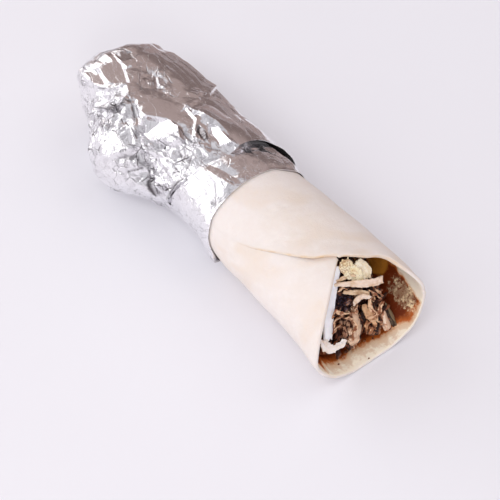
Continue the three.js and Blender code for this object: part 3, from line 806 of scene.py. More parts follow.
def pressFlat(points, angle):
    # moves the points inside each face onto the plane that it is pressed to
    for corners, facing, tilt in foil["presses"]:
        share = np.clip(insideFace(angle, points[:, 1], corners) / foil["pressEdge"], 0, 1)
        if share.max() < 1:
            continue
        way = np.array([sines(facing) * sines(tilt), -cosines(facing) * sines(tilt), cosines(tilt)])
        height = (points - points[share == 1].mean(axis=0)) @ way
        height = np.clip(height, -foil["pressReach"], foil["pressReach"])
        points = points - (share * height)[:, None] * way
    return points


def creaseNet():
    # triangles between the lines of creases and stray points, with corners of (millimetres round, Y, height)
    points, edges = [], []
    for line in foil["creases"]:
        for k, point in enumerate(line):
            if k:
                edges.append((len(points) - 1, len(points)))
            points.append(point)
    for i in range(foil["strayCount"]):
        angle, y = 360 * float(chance(i, 7)) - 180, mix(*foil["strayBetween"], float(chance(i, 8)))
        near = min(math.hypot((angle - a) * degreeLength, y - v) for a, v, _ in points)
        if near > foil["strayGap"]:
            points.append((angle, y, foil["strayHeight"] * (2 * float(chance(i, 9)) - 1)))
    around = [(a + turn, y, h) for turn in (0, -360, 360) for a, y, h in points]
    flat = [Vector((a * degreeLength, y)) for a, y, _ in around]
    made = delaunay_2d_cdt(flat, edges, [], 0, 1e-4)
    heights = [around[source[0]][2] for source in made[3]]
    return [[(made[0][v][0], made[0][v][1], heights[v]) for v in face] for face in made[2]]


foilNet = creaseNet()


def netHeight(angle, y):
    across = angle * degreeLength
    height = np.zeros(np.shape(angle))
    for (ax, ay, ah), (bx, by, bh), (cx, cy, ch) in foilNet:
        area = (bx - ax) * (cy - ay) - (cx - ax) * (by - ay)
        if abs(area) < 1e-6:
            continue
        box = ((across >= min(ax, bx, cx)) & (across <= max(ax, bx, cx)) & (y >= min(ay, by, cy))
               & (y <= max(ay, by, cy)))
        u, v = across[box] - ax, y[box] - ay
        second = (u * (cy - ay) - (cx - ax) * v) / area
        third = ((bx - ax) * v - u * (by - ay)) / area
        inside = (second >= -1e-6) & (third >= -1e-6) & (second + third <= 1 + 1e-6)
        value = ah + second * (bh - ah) + third * (ch - ah)
        height[np.flatnonzero(box)[inside]] = value[inside]
    return height


def foilCrumple(angle, y):
    # how far the sheet is dented in: scattered facets, less what the creases push out
    along = roundGirth(angle)
    bend = 1.1 * flatNoise(along / 9, y / 9, 3)
    along = np.mod(along + bend, foil["girth"])
    yBent = y + 1.1 * softNoise(along / 9, y / 9, 0 * y + 7, 3)
    work = foilWork(angle, y)
    middle = facets(along, yBent, cell=11, steep=(0.16, 0.5), seed=31) - 1.4
    small = facets(along, yBent, cell=5.2, steep=(0.2, 0.66), seed=51) - 0.6
    pressed = sum(fold(angle, y, *one) for one in foil["folds"])
    return middle * work + small * work ** 1.3 - pressed - netHeight(angle, y)


def foilOffset(angle, y):
    # how far the main sheet lies off the bread
    facing = [np.maximum(0, v) ** 1.5 for v in (-sines(angle), sines(angle), cosines(angle))]
    reaches = [foil[name](y) for name in ("leftAt", "rightAt", "topAt")]
    reach = sum(f * r for f, r in zip(facing, reaches)) / np.maximum(sum(facing), 0.02)
    flap = foil["flapHeight"] * flapShare(angle) * (1 - rise(y, *foil["flapFade"]))
    dent = -foilCrumple(angle, y) * (0.35 + 0.65 * rise(reach, 1, 5))
    lift = np.maximum(foil["leastLift"], reach + flap + dent)
    hug = sum(bandShare(angle, *angles) for angles in foil["hugs"])
    front = foil["frontAt"](angle)
    lift = mix(lift, foil["hugLift"], hug * (1 - rise(y, front - 1, front + foil["hugLength"])))
    return roll["fitGap"] + foil["collarLift"][1] + lift


def foilPoint(angle, y, inset=0.0):
    offset = foilOffset(angle, y) - inset
    return rollPoint(angle, y, offset, offset, drop=np.minimum(offset, foil["bellyLift"]))


def foilEndPoint(angle, closing):
    # the folded end: closing goes from 1 at the main sheet to 0 in its middle
    end = foil["endY"]
    middle = np.stack(np.broadcast_arrays(roll["driftAt"](end), end, foil["endMiddle"] + 0 * angle), -1)
    point = mix(middle, foilPoint(angle, end + 0 * angle), closing[:, None])
    x, z = point[:, 0] - foil["earPlace"][0], point[:, 2] - foil["earPlace"][1]
    along = (x + foil["earLean"] * z) / foil["earSize"][0]
    across = (z - foil["earLean"] * x) / foil["earSize"][1]
    ear = foil["earReach"] * np.exp(-(along ** 4) - across ** 2)
    dent = foilCrumple(angle, end + foil["endDepth"] * 2 * (1 - closing))
    point[:, 1] += (foil["endDepth"] - closing * dent) * np.sqrt(1 - closing ** 7) + ear
    return point


def collarPoint(angle, y):
    fromEdge = y - foil["collarEdgeAt"](angle)
    crease = 0.5 * np.abs(np.sin(np.radians(angle * 2.3) + y / 7))
    small = 0.12 * facets(roundGirth(angle), y, cell=9, steep=(0.2, 0.5), seed=71)
    offset = roll["fitGap"] + mix(*foil["collarLift"], rise(fromEdge, 0, 5))
    offset = offset + crease * rise(fromEdge, 0, 8) + small
    offset = offset + sum(fold(angle, y, *one) for one in foil["collarFolds"]) * rise(fromEdge, -1, 4)
    offset = offset + foil["flare"][2] * flareShare(angle) * (1 - rise(fromEdge, 0, foil["flareLength"]))
    offset = np.maximum(offset, foil["innerGap"])
    return rollPoint(angle, y, offset, offset)


def foilRowList():
    # inside from its pole to the collar's edge, the collar, in under the main sheet, back out of that
    # pocket, the main sheet and the folded end
    rows = [("dome", dome) for dome in reversed(roll["domeAngles"])]
    rows += [("inside", share) for share in (1, 0.7, 0.45, 0.3, 0.2, 0.12, 0.05, 0)]
    rows += [("collar", share) for share in np.linspace(0, 1, foil["collarRows"])]
    rows += [("under", share) for share in (0.35, 0.7, 1)]
    rows += [("pocket", share) for share in (0.96, 0.75, 0.5, 0.25, 0)]
    rows += [("main", share) for share in np.linspace(0, 1, foil["mainRows"])]
    rows += [("end", closing) for closing in np.cos(np.linspace(0.12, math.pi / 2, foil["endRows"]))]
    return rows


foilRows = foilRowList()


def foilPoints(column, row):
    # columns stand closer together on the side that is most crumpled
    turn = -180 + 360 * (column % foil["columns"]) / foil["columns"]
    wrapped = np.mod(turn - foil["gather"] * sines(turn + 25) + 180, 360) - 180
    front = foil["frontAt"](wrapped)
    edge = foil["collarEdgeAt"](wrapped)
    points = np.zeros((len(row), 3))
    pocket, shade = np.zeros(len(row)), np.zeros(len(row))
    work = foilWork(wrapped, np.full(len(row), 150.0))
    for index, (kind, share) in enumerate(foilRows):
        here = row == index
        a, f, e = wrapped[here], front[here], edge[here]
        groove = f + mix(*foil["grooveDepth"], flapShare(a)) * share
        if kind == "dome":
            made = rollPoint(a, roll["domeStart"], foil["innerGap"], roll["foiledFloor"], share)
        elif kind == "inside":
            y = mix(e, roll["domeStart"], share)
            made = rollPoint(a, y, foil["innerGap"], breadFloor(y))
            # the inside of the collar's flared edge is painted in shade
            shade[here] = flareShare(a)
        elif kind == "collar":
            y = mix(e, f, share)
            made = collarPoint(a, y)
            work[here], shade[here] = 0.3, foilShade(a, y)
        elif kind == "under":
            made = collarPoint(a, groove)
            # painted shade in the pocket where the flap stands up
            pocket[here] = flapShare(a)
        elif kind == "pocket":
            lift = np.clip(1.35 * (1 - share) ** 0.6, 0, 1)
            made = mix(collarPoint(a, groove), foilPoint(a, groove, inset=0.35), lift)
            pocket[here] = flapShare(a) * (0.4 + 0.6 * share ** 0.3) if share else 0
        elif kind == "main":
            y = mix(f, foil["endY"], share)
            made = foilPoint(a, y)
            work[here], shade[here] = foilWork(a, y), foilShade(a, y)
        else:
            made = foilEndPoint(a, np.full(len(a), share))
            work[here], shade[here] = foilWork(a, made[:, 1]), foilShade(a, made[:, 1])
        points[here] = made
    sheet = row >= len(foilRows) - foil["mainRows"] - foil["endRows"]
    points[sheet] = pressFlat(points[sheet], wrapped[sheet])
    return points, work, pocket, shade


print("foil")
foilLayers = ("crumple", "pocket", "shade")
wrapper = gridMesh("foil_sheet", foil["columns"], len(foilRows) - 1, foilPoints, foilLayers, creaseAngle=13)
dress(wrapper, foilFinish(), "foil", "foil_wrapper")


# The filling. Its sloping front has axes of its own: X, the way up the slope and the height out of it.

front = dict(
    foot=(0, 5, 5),  # where the slope starts
    slope=0.62,  # Y gained for each Z climbed
)
slopeLength = math.hypot(1, front["slope"])
slopeUp = np.array([0, front["slope"], 1]) / slopeLength
slopeOut = np.array([0, -1, front["slope"]]) / slopeLength


def onFront(x, up, out):
    # points in the front's own axes, as points of the wrap
    x, up, out = np.broadcast_arrays(np.asarray(x, float), up, out)
    points = np.array(front["foot"]) + x[..., None] * np.array([1, 0, 0])
    return points + up[..., None] * slopeUp + out[..., None] * slopeOut


def clumps(x, y, z, seed):
    # lumps packed side by side: how far inside its own lump a point is, and a number for that lump
    near = np.full(np.shape(x), 9.0)
    second, number = near.copy(), near.copy()
    low = [np.floor(v) for v in (x, y, z)]
    for step in range(27):
        cell = [v + step // 3 ** k % 3 - 1 for k, v in enumerate(low)]
        away = sum((c + chance(*cell, seed + k) - v) ** 2 for k, (c, v) in enumerate(zip(cell, (x, y, z))))
        number = np.where(away < near, chance(*cell, seed + 5), number)
        second = np.where(away < near, near, np.minimum(second, away))
        near = np.minimum(near, away)
    return np.sqrt(second) - np.sqrt(near), number


def tornSkin(x, up, out, grain, seed, coarse=1.0):
    # torn meat at points of the front's own axes: its height and each clump's tone; grain turns its fibres
    across = x * cosines(grain) + up * sines(grain)
    along = up * cosines(grain) - x * sines(grain)
    bend = 0.9 * softNoise(across / 5, along / 6, out / 5, seed + 3)
    big, tone = clumps(across / 3.4 + 0.5 * bend, along / 5.6 + 0.3 * bend, out / 3.4, seed)
    small, fleck = clumps(across / 1.5 + bend, along / 2.7 + 0.6 * bend, out / 1.5, seed + 11)
    strings = ridged(across / 0.9 + bend, along / 4 + bend, out / 0.9, seed + 2)
    height = coarse * (1.5 * rise(big, 0, 0.5) - 0.8) + 0.8 * rise(small, 0, 0.45) - 0.45 + 0.25 * strings
    return height, tone + 0.5 * (fleck - 0.5)


def smoothPath(points, count):
    # even steps along a curve through points
    points = np.array(points, float)
    ends = np.concatenate([[2 * points[0] - points[1]], points, [2 * points[-1] - points[-2]]])
    stepsEach = 24
    curve = []
    for p0, p1, p2, p3 in zip(ends, ends[1:], ends[2:], ends[3:]):
        for t in np.linspace(0, 1, stepsEach, endpoint=False):
            curve.append(0.5 * (2 * p1 + (p2 - p0) * t + (2 * p0 - 5 * p1 + 4 * p2 - p3) * t ** 2
                                + (3 * p1 - p0 - 3 * p2 + p3) * t ** 3))
    curve = np.array(curve + [points[-1]])
    length = np.concatenate([[0], np.cumsum(np.linalg.norm(np.diff(curve, axis=0), axis=1))])
    steps = np.linspace(0, length[-1], count)
    return np.stack([np.interp(steps, length, curve[:, k]) for k in range(3)], -1), length[-1]


# how a torn strip is shaped where its own settings don't say otherwise
strip = dict(out=3, wave=0.3, roll=0, twist=0, torn=0.12, taper=0.72, widths=(1, 1), fray=0.8, veins=0.14,
             cell=2.6, crinkle=0.15, cup=0, frill=0, seed=0)


def ribbonPoints(shape, columns, rows):
    # a wavy torn strip along a path of (X, way up, lift) points on the front
    seed = shape["seed"]
    places = [onFront(p[0], p[1], shape["out"] + (p[2] if len(p) > 2 else 0)) for p in shape["path"]]
    path, length = smoothPath(places, columns + 1)
    tangent = np.gradient(path, axis=0)
    tangent /= np.linalg.norm(tangent, axis=1)[:, None]
    flat = np.cross(slopeOut, tangent)
    flat /= np.linalg.norm(flat, axis=1)[:, None]
    normal = np.cross(tangent, flat)
    turned = shape["roll"] + shape["twist"] * (np.linspace(0, 1, columns + 1) - 0.5)
    across = cosines(turned)[:, None] * flat + sines(turned)[:, None] * normal
    normal = np.cross(tangent, across)

    def pointsAt(column, row):
        share, side = column / columns, 2 * row / rows - 1
        place = share * length
        x = side * shape["width"] / 2
        taper = mix(np.sin(math.pi * share), 1, shape["taper"])
        hand = np.sign(side)
        edge = 1 + shape["torn"] * flatNoise(place / 1.7, hand * 3, seed) * side ** 2
        edge = edge + 0.6 * shape["torn"] * flatNoise(place / 0.7, hand * 5, seed) * side ** 4
        width = shape["width"] / 2 * taper * edge * mix(*shape["widths"], share)
        fray = shape["fray"] * flatNoise(x / 1.1, np.rint(share) * 9, seed + 4)
        slide = fray * (2 * share - 1) ** 6
        wave = shape["wave"] * (np.sin(9 * share + 2 * side) + 0.4 * side * side)
        wave = wave + shape["cup"] * side * side
        wave = wave + shape["frill"] * side ** 2 * np.sin(place / 1.3 + 1.8 * hand + seed)
        veins = ridged(x / 1.1 + 0.4 * np.sin(place / 2.3), place / 9, 0 * x, seed + 7)
        cell = shape["cell"]
        dents = cell / 3 - facets(place + 50, x + 50, cell, (0.3, 0.9), seed + 8)
        bumps = shape["crinkle"] * (dents + 0.4 * flatNoise(x / 0.9, place / 0.9, seed + 9))
        points = path[column] + (side * width)[:, None] * across[column]
        points = points + (wave + shape["veins"] * veins + bumps)[:, None] * normal[column]
        points = points + slide[:, None] * tangent[column]
        return points, share, np.abs(side), 0.5 * veins + np.clip(dents, -1, 1)

    return pointsAt


def ribbon(name, own, material, slotName, node, columns=80, rows=22):
    shape = {**strip, **own}
    piece = gridMesh(name, columns, rows, ribbonPoints(shape, columns, rows), ("along", "edge", "ridge"))
    thick = piece.modifiers.new("thickness", "SOLIDIFY")
    thick.thickness = shape["thickness"] * millimetre
    thick.offset = 0
    soft = piece.modifiers.new("soft edges", "SUBSURF")
    soft.levels = soft.render_levels = 1
    dress(piece, material, slotName, node)


def cabbageFinish(name, pale, deep, sauce, tinted, freckled=0.0):
    # tinted is how much of the leaf the sauce has stained
    finish = Finish(name, Roughness=0.38, Coat_Weight=0.15, Coat_Roughness=0.25, Subsurface_Weight=0.15,
                    Subsurface_Radius=(1.0, 0.8, 0.5), Subsurface_Scale=0.0015)
    ridge = finish.mark("ridge")
    patches = finish.spots(4.2, 4, 0.6)
    # veins and raised parts lean to the pale colour and dents to the deep one, as painted shade, over random
    # patches
    colour = (0.3 * ridge + 1.4 * patches - 0.2).between(0.1, 0.9).blend(deep, pale)
    stain = finish.spots(5, 4, 0.65) + 0.12 * finish.mark("edge") - 0.06 * ridge
    colour = (stain.between(0.72 - tinted, 1.05 - tinted) * 0.85).blend(colour, sauce)
    if freckled:
        # brown dots that thin out along the leaf
        dots = finish.spots(0.9, 2, 0.6) - 0.16 * finish.mark("along")
        colour = (dots.between(0.56 - freckled, 0.62 - freckled) * 0.6).blend(colour, sauce)
    grain = finish.spots(0.7, 3) + 0.6 * finish.spots(2, 2)
    finish.set(Base_Color=colour, Normal=finish.bump(grain, 0.14))
    return finish.material


def meatFinish(name, crest, light, dark, hollow, wet, level=0.0, specks=None, foot=None):
    # by height, parted at level: crests painted pale as highlights, skin, and hollows painted dark as sauce
    # and shade; specks are dots and foot colours the lower end
    finish = Finish(name, Specular_IOR_Level=0.35, Coat_Roughness=0.2, Subsurface_Weight=0.06,
                    Subsurface_Radius=(1.0, 0.4, 0.25), Subsurface_Scale=0.0012)
    height = finish.mark("ridge") + 0.7 * (finish.spots(1.1, 3, 0.65) - 0.5)
    tone = (finish.mark("tone") + 1.2 * (finish.spots(4.5, 3) - 0.5)).between(0.1, 0.9)
    low = height.between(level - 0.9, level + 0.1)
    high = (height + 0.5 * (finish.spots(6, 2) - 0.5)).between(level + 0.55, level + 1.05)
    colour = high.blend(low.blend(hollow, tone.blend(dark, light)), crest)
    if specks:
        colour = (finish.spots(0.8, 2, 0.6).between(0.56, 0.62) * 0.8).blend(colour, specks)
    if foot:
        colour = (1 - finish.mark("along").between(-0.95, -0.5)).blend(colour, foot)
    flat = finish.mark("flat")
    cut = (finish.spots(3, 3) + 0.2 * tone).between(0.35, 0.75).blend(light, crest)
    colour = (flat * 0.9).blend(colour, cut)
    finish.set(Base_Color=colour, Coat_Weight=low * (1 - 0.8 * high) * wet, Roughness=0.34 + 0.24 * high)
    grain = finish.spots(0.55, 3) + 0.7 * finish.spots(1.6, 2)
    finish.set(Normal=finish.bump(grain * (1 - 0.7 * flat), 0.26))
    return finish.material


lumpLayers = ("ridge", "tone", "along", "flat")
# how a torn lump is shaped where its own settings don't say otherwise
chunk = dict(turn=0, grain=0, torn=0.8, coarse=1, cuts=())


def lumpInto(bm, layers, own, detail):
    # a torn lump of meat, longest up the slope, added to a mesh; cuts are flat faces (turn, tilt, depth)
    shape = {**chunk, **own}
    made = bmesh.ops.create_icosphere(bm, subdivisions=detail, radius=1)["verts"]
    unit = np.array([v.co for v in made])
    seed, turn = shape["seed"], shape["turn"]
    swell = 1 + 0.1 * sum(np.sin(k * unit[:, i] + (i + 1) * seed) for i, k in enumerate((5, 6, 7)))
    body = unit * swell[:, None]
    flat = np.zeros(len(unit))
    for facing, tilt, depth in shape["cuts"]:
        way = np.array([cosines(facing) * cosines(tilt), sines(facing) * cosines(tilt), sines(tilt)])
        past = np.maximum(0, body @ way - depth)
        body = body - 0.92 * past[:, None] * way
        flat = np.maximum(flat, rise(past, 0, 0.12))
    size = np.array(shape["size"], float)
    local = body * size
    height, tone = tornSkin(local[:, 0] + 7 * seed, local[:, 1], local[:, 2], shape["grain"],
                            20 + int(seed * 10), shape["coarse"])
    push = shape["torn"] * (height - 0.1) * np.minimum(1, size.min() / 4) * (1 - 0.85 * flat)
    local = local + unit * push[:, None]
    x = local[:, 0] * cosines(turn) - local[:, 1] * sines(turn)
    up = local[:, 0] * sines(turn) + local[:, 1] * cosines(turn)
    at = shape["at"]
    lift = at[2] + local[:, 2]
    # what lies deep between the pieces is painted dark as a hollow, as the shade there
    height = height - 0.8 * (1 - rise(lift, -1, 3))
    placeVerts(made, onFront(at[0] + x, at[1] + up, lift), layers, (height, tone, unit[:, 1], flat))


def lump(name, shapes, material, slotName, node, detail=6):
    bm = bmesh.new()
    layers = [bm.verts.layers.float.new(layer) for layer in lumpLayers]
    for shape in shapes:
        lumpInto(bm, layers, shape, detail)
    dress(pieceOf(bm, name), material, slotName, node)


print("cabbage")
whiteLeaf = cabbageFinish("white cabbage", rgb(250, 250, 255), rgb(244, 243, 250), rgb(214, 196, 186),
                          tinted=0.0)
curlLeaf = cabbageFinish("torn cabbage", rgb(250, 242, 236), rgb(232, 216, 204), rgb(176, 132, 98),
                         tinted=0.06)
yellowLeaf = cabbageFinish("yellow cabbage", rgb(248, 238, 206), rgb(234, 212, 166), rgb(160, 102, 56),
                           tinted=0.08, freckled=0.1)
pinkLeaf = cabbageFinish("pale cabbage", rgb(242, 230, 208), rgb(218, 198, 160), rgb(156, 108, 72),
                         tinted=0.12)
stainedLeaf = cabbageFinish("stained cabbage", rgb(240, 218, 200), rgb(218, 184, 152), rgb(140, 94, 60),
                            tinted=0.14)
tanLeaf = cabbageFinish("tanned cabbage", rgb(232, 204, 172), rgb(204, 168, 130), rgb(132, 86, 52),
                        tinted=0.2)

cabbage = dict(
    cabbage_rib=dict(width=6.6, thickness=1.6, out=3, wave=0.2, roll=-12, torn=0.04, crinkle=0.03,
                     veins=0.06, taper=0.9, path=[(-0.4, 52.4, -1), (-8.2, 41), (-15.4, 29.2), (-20.6, 17)]),
    cabbage_curl=dict(width=5.2, thickness=1, out=2.8, wave=0.3, torn=0.4, crinkle=0.55, cell=5, seed=2,
                      cup=0.9, roll=18, fray=1.2,
                      path=[(-23.6, 19.4, 0.4), (-22.8, 14.6), (-19.6, 11.6, 0.4), (-15.2, 11, 1),
                            (-12.2, 12.8, 1.8)]),
    cabbage_leaf_1=dict(width=9.6, thickness=0.8, out=2.6, wave=0.5, torn=0.16, crinkle=0.35, cell=5,
                        fray=1.6, seed=3, cup=0.8, frill=0.5, widths=(1.1, 0.6), taper=0.85,
                        path=[(3.6, 53), (5.4, 47.8), (8.6, 42.4), (12.6, 37)]),
    cabbage_leaf_2=dict(width=5.8, thickness=1, out=3.2, wave=0.4, roll=25, torn=0.12, crinkle=0.25, cell=5,
                        seed=4, cup=0.8, path=[(12.4, 49.4), (14.4, 44.6), (15.4, 41), (14.6, 37)]),
    cabbage_strip_1=dict(width=4.4, thickness=1.3, out=5, wave=0.2, torn=0.1, crinkle=0.22, cell=4,
                         veins=0.12, seed=5, widths=(0.45, 1.35), taper=0.7, fray=0.5,
                         path=[(-6.4, 44.2, -2), (-1, 42, -0.6), (8.7, 37, 0.6), (16, 34, 1.2),
                               (22, 32.4, 1)]),
    cabbage_strip_2=dict(width=2.8, thickness=1.1, out=3.4, wave=0.3, torn=0.2, crinkle=0.25, cell=4, seed=6,
                         widths=(0.8, 1.1), path=[(-2, 37), (3.4, 34), (8.2, 31), (13, 27.8)]),
    cabbage_strip_3=dict(width=3.4, thickness=1.1, out=5.2, wave=0.2, torn=0.12, crinkle=0.2, cell=4, seed=7,
                         widths=(1.1, 0.6), path=[(0.4, 28.4), (3.6, 29.8), (7.4, 29.4), (11.6, 26.8)]),
)
leafFinishes = dict(
    cabbage_rib=(whiteLeaf, "cabbage_white"),
    cabbage_curl=(curlLeaf, "cabbage_white"),
    cabbage_leaf_1=(yellowLeaf, "cabbage_yellow"),
    cabbage_leaf_2=(pinkLeaf, "cabbage_yellow"),
    cabbage_strip_1=(stainedLeaf, "cabbage_stained"),
    cabbage_strip_2=(tanLeaf, "cabbage_stained"),
    cabbage_strip_3=(stainedLeaf, "cabbage_stained"),
)
for node, shape in cabbage.items():
    ribbon(f"{node}_leaf", shape, *leafFinishes[node], node)


print("meat")
# each has the colours of its crests, painted as highlights, its light and its dark skin, and its hollows,
# painted as sauce and shade
lightMeat = meatFinish("light meat", rgb(240, 209, 180), rgb(201, 158, 129), rgb(140, 92, 66),
                       rgb(52, 20, 10), wet=0.3, level=-0.22)
brownMeat = meatFinish("brown meat", rgb(230, 187, 145), rgb(167, 107, 69), rgb(92, 45, 22),
                       rgb(32, 10, 5), wet=0.35, level=0.14)
saucyMeat = meatFinish("meat in sauce", rgb(202, 154, 112), rgb(150, 88, 52), rgb(98, 42, 20),
                       rgb(44, 14, 6), wet=0.5, level=0.1)
burntMeat = meatFinish("burnt meat", rgb(152, 112, 90), rgb(98, 58, 44), rgb(54, 30, 32),
                       rgb(34, 14, 16), wet=0.5, specks=rgb(86, 82, 104))
stripMeat = meatFinish("strip of meat", rgb(250, 224, 200), rgb(240, 204, 176), rgb(206, 152, 120),
                       rgb(140, 76, 44), wet=0.3, level=-0.7, foot=rgb(104, 40, 16))
tornEdge = meatFinish("torn meat edge", rgb(231, 193, 158), rgb(204, 153, 121), rgb(154, 99, 69),
                      rgb(72, 34, 18), wet=0.2, level=-0.3)
pickleSkin = meatFinish("pickle", rgb(150, 134, 106), rgb(112, 96, 72), rgb(84, 68, 48),
                        rgb(44, 28, 18), wet=0.6)

meat = dict(
    meat_piece_1=dict(at=(-3, 14.5, 1), size=(7.6, 11.4, 5), turn=-18, seed=1.3, grain=10,
                      cuts=[(6, 52, 0.5), (-75, 40, 0.78)], torn=1, coarse=1.1),
    meat_piece_2=dict(at=(9.6, 12.5, 1), size=(5.4, 10.4, 4.6), turn=6, seed=2.4, grain=-20, coarse=1.4,
                      cuts=[(100, 50, 0.7)]),
    meat_piece_3=dict(at=(-3, 30, 0), size=(7.4, 7.6, 3.8), turn=30, seed=4.1, grain=60, torn=1.3,
                      coarse=1.6),
    meat_strip_1=dict(at=(18, 6.2, 1), size=(2.7, 7.2, 2.4), turn=4, seed=5.2, torn=0.12,
                      cuts=[(-20, 50, 0.5)]),
    pickle_strip=dict(at=(22.6, 6.4, 0.2), size=(2.1, 8, 2.1), turn=5, seed=6.6, torn=0.16,
                      cuts=[(30, 50, 0.5)]),
)
meatFinishes = dict(
    meat_piece_1=(lightMeat, "meat_light"),
    meat_piece_2=(brownMeat, "meat_brown"),
    meat_piece_3=(burntMeat, "meat_burnt"),
    meat_strip_1=(stripMeat, "meat_light"),
    pickle_strip=(pickleSkin, "pickle"),
)
for node, shape in meat.items():
    lump(f"{node}_torn", [shape], *meatFinishes[node], node)


core = dict(
    columns=320,
    frontRows=120,
    sideRows=24,
    offset=-3.3,  # how far its sides lie inside the outer face of the bread
    sectionY=20.0,  # the front's outline is the roll's here
    behind=1.4,  # how far back its front lies, and how fast it falls back beyond these X and Z
    rightFrom=curveThrough([(20, 21.5), (32, 19), (47, 10)]),
    rightRate=2.1,
    leftFrom=-20,
    leftRate=0.6,
    footFrom=9.5,
    footRate=1.1,
    ripple=0.9,  # how high the waves of its front are
)


def corePoints(column, row):
    # the mass behind: its torn sloping front, the sides along the bread and the round end
    angle = -180 + 360 * (column % core["columns"]) / core["columns"]
    share = np.clip(row / core["frontRows"], 0, 1)
    section = core["sectionY"]
    wall = rollPoint(angle, section, core["offset"])
    x = mix(roll["driftAt"](section), wall[:, 0], share)
    z = mix(roll["halfHeightAt"](section), wall[:, 2], share)
    climb = z - front["foot"][2]
    right = core["rightRate"] * np.maximum(0, x - core["rightFrom"](z))
    left = core["leftRate"] * np.maximum(0, core["leftFrom"] - x)
    foot = core["footRate"] * np.maximum(0, core["footFrom"] - z)
    start = front["foot"][1] + core["behind"] + climb * front["slope"] + right + left + foot
    ripple = core["ripple"] * np.sin(x / 3.1 + z / 4.3) * np.cos(z / 3.3 - x / 5.2) * share
    height, tone = tornSkin(x, climb * slopeLength, 0 * x, grain=25, seed=70, coarse=1.4)
    start = start + ripple - 0.9 * height * np.minimum(1, (1 - share) * 9)
    past = row - core["frontRows"]
    y = mix(start, roll["domeStart"], np.clip(past / core["sideRows"], 0, 1) ** 2)
    domes = np.array((0, *roll["domeAngles"]))
    dome = domes[np.clip(past - core["sideRows"], 0, len(domes) - 1)]
    there = rollPoint(angle, y, core["offset"], breadFloor(y), dome)
    middle = np.stack(np.broadcast_arrays(roll["driftAt"](y), y, roll["halfHeightAt"](y)), -1)
    points = mix(middle, there, share[:, None])
    points[:, 1] = there[:, 1]
    return points, height - 0.35, tone


coreRows = core["frontRows"] + core["sideRows"] + len(roll["domeAngles"])
mass = gridMesh("meat_mass", core["columns"], coreRows, corePoints, ("ridge", "tone"))
dress(mass, saucyMeat, "meat_brown", "meat_filling")

shreds = dict(
    count=80,
    # where the small ones lie and how large they are: the least and what chance adds
    corner=(-19, 4, -0.4),
    spread=(40, 39, 0.8),
    least=(0.9, 2, 1),
    more=(1, 3, 0.5),
    # larger ones that fill known places
    placed=[dict(at=(-2.4, 38.4, 0.6), size=(4.6, 3.4, 2.2), turn=-24, seed=8.2, grain=60),
            dict(at=(8.6, 7.2, 1.2), size=(4.4, 3.4, 3), turn=-30, seed=9.4, coarse=0.6),
            dict(at=(-12.6, 26.6, 1.6), size=(3, 4.2, 2.4), turn=-50, seed=10.2),
            dict(at=(16.4, 25.4, 0.4), size=(3.4, 5, 2.4), turn=20, seed=11.6, coarse=1.3),
            dict(at=(1, 50.6, 0.2), size=(4, 2.6, 1.6), turn=-30, seed=12.2),
            dict(at=(-2, 45.6, 0.6), size=(4, 2, 1.4), turn=-40, seed=13.1),
            dict(at=(9, 52, -0.6), size=(5, 2, 1.4), turn=-8, seed=14.3),
            dict(at=(17.6, 48, -1), size=(3, 3, 1.4), turn=-30, seed=15.6)],
    # a strip of cabbage stained brown: path, width and height over the front
    scraps=[([(-3.8, 44.9), (1.2, 44.4), (4.7, 43.8), (8, 42)], 1.9, 3.2)],
    scrapShape=dict(thickness=0.7, torn=0.3),
    # torn edges of meat that stand up between the larger pieces: path, width and height over the front
    edges=[([(-13.7, 29.3), (-11.3, 30.8), (-9.1, 28.6), (-6.6, 26.4), (-3, 24.7), (0.3, 23.7), (1.6, 21.9)],
            2.6, 4.6),
           ([(1.3, 22.5), (0.6, 25), (2.6, 27.2)], 2.6, 4.6),
           ([(-17.1, 19.2), (-13.3, 21.2), (-9.6, 21.8)], 1.8, 3.8),
           ([(-15.3, 21.7), (-13.7, 24.4), (-11.5, 25.8), (-8, 25.7)], 2.4, 3.8),
           ([(-7.2, 23.9), (-4.8, 22.8), (-2.5, 21.1)], 1.8, 5),
           ([(-3.8, 20.8), (-2.3, 17), (-3.8, 15), (-6.3, 13.6), (-7, 9)], 1.6, 5.8),
           ([(11.2, 26.1), (10, 22.9), (10.5, 18.9), (11.6, 15.9), (9.1, 15), (6.1, 15.7)], 2.4, 5),
           ([(18.6, 19.9), (16, 18), (14.7, 15.4), (11.6, 14.9), (11.1, 11.8), (14, 8.4)], 2.2, 4.8),
           ([(5, 13.1), (8.3, 13.2), (10.5, 12.2)], 1.8, 5),
           ([(13, 30.2), (14.8, 27.4), (16.4, 24.6), (18.4, 21.4)], 1.4, 4.4),
           ([(17, 28.4), (19, 25), (20.4, 22)], 1.4, 3.6),
           ([(-5.6, 39.6), (-2, 40), (1, 37.4)], 1.4, 3.6)],
    edgeShape=dict(thickness=0.55, wave=0.35, torn=0.5, crinkle=0.4, veins=0.15, roll=50, twist=50),
)


def spreadOut(least, more, shares):
    return [low + wide * share for low, wide, share in zip(least, more, shares)]


def tornShreds():
    # small shreds scattered over the front
    made = []
    for i in range(shreds["count"]):
        a, b, c, d, e = (float(chance(i, k)) for k in (40, 80, 120, 160, 200))
        at = spreadOut(shreds["corner"], shreds["spread"], (a, b, c))
        size = spreadOut(shreds["least"], shreds["more"], (d, c, e))
        made.append(dict(at=at, size=size, turn=180 * e, seed=i * 0.37, torn=0.5))
    return made


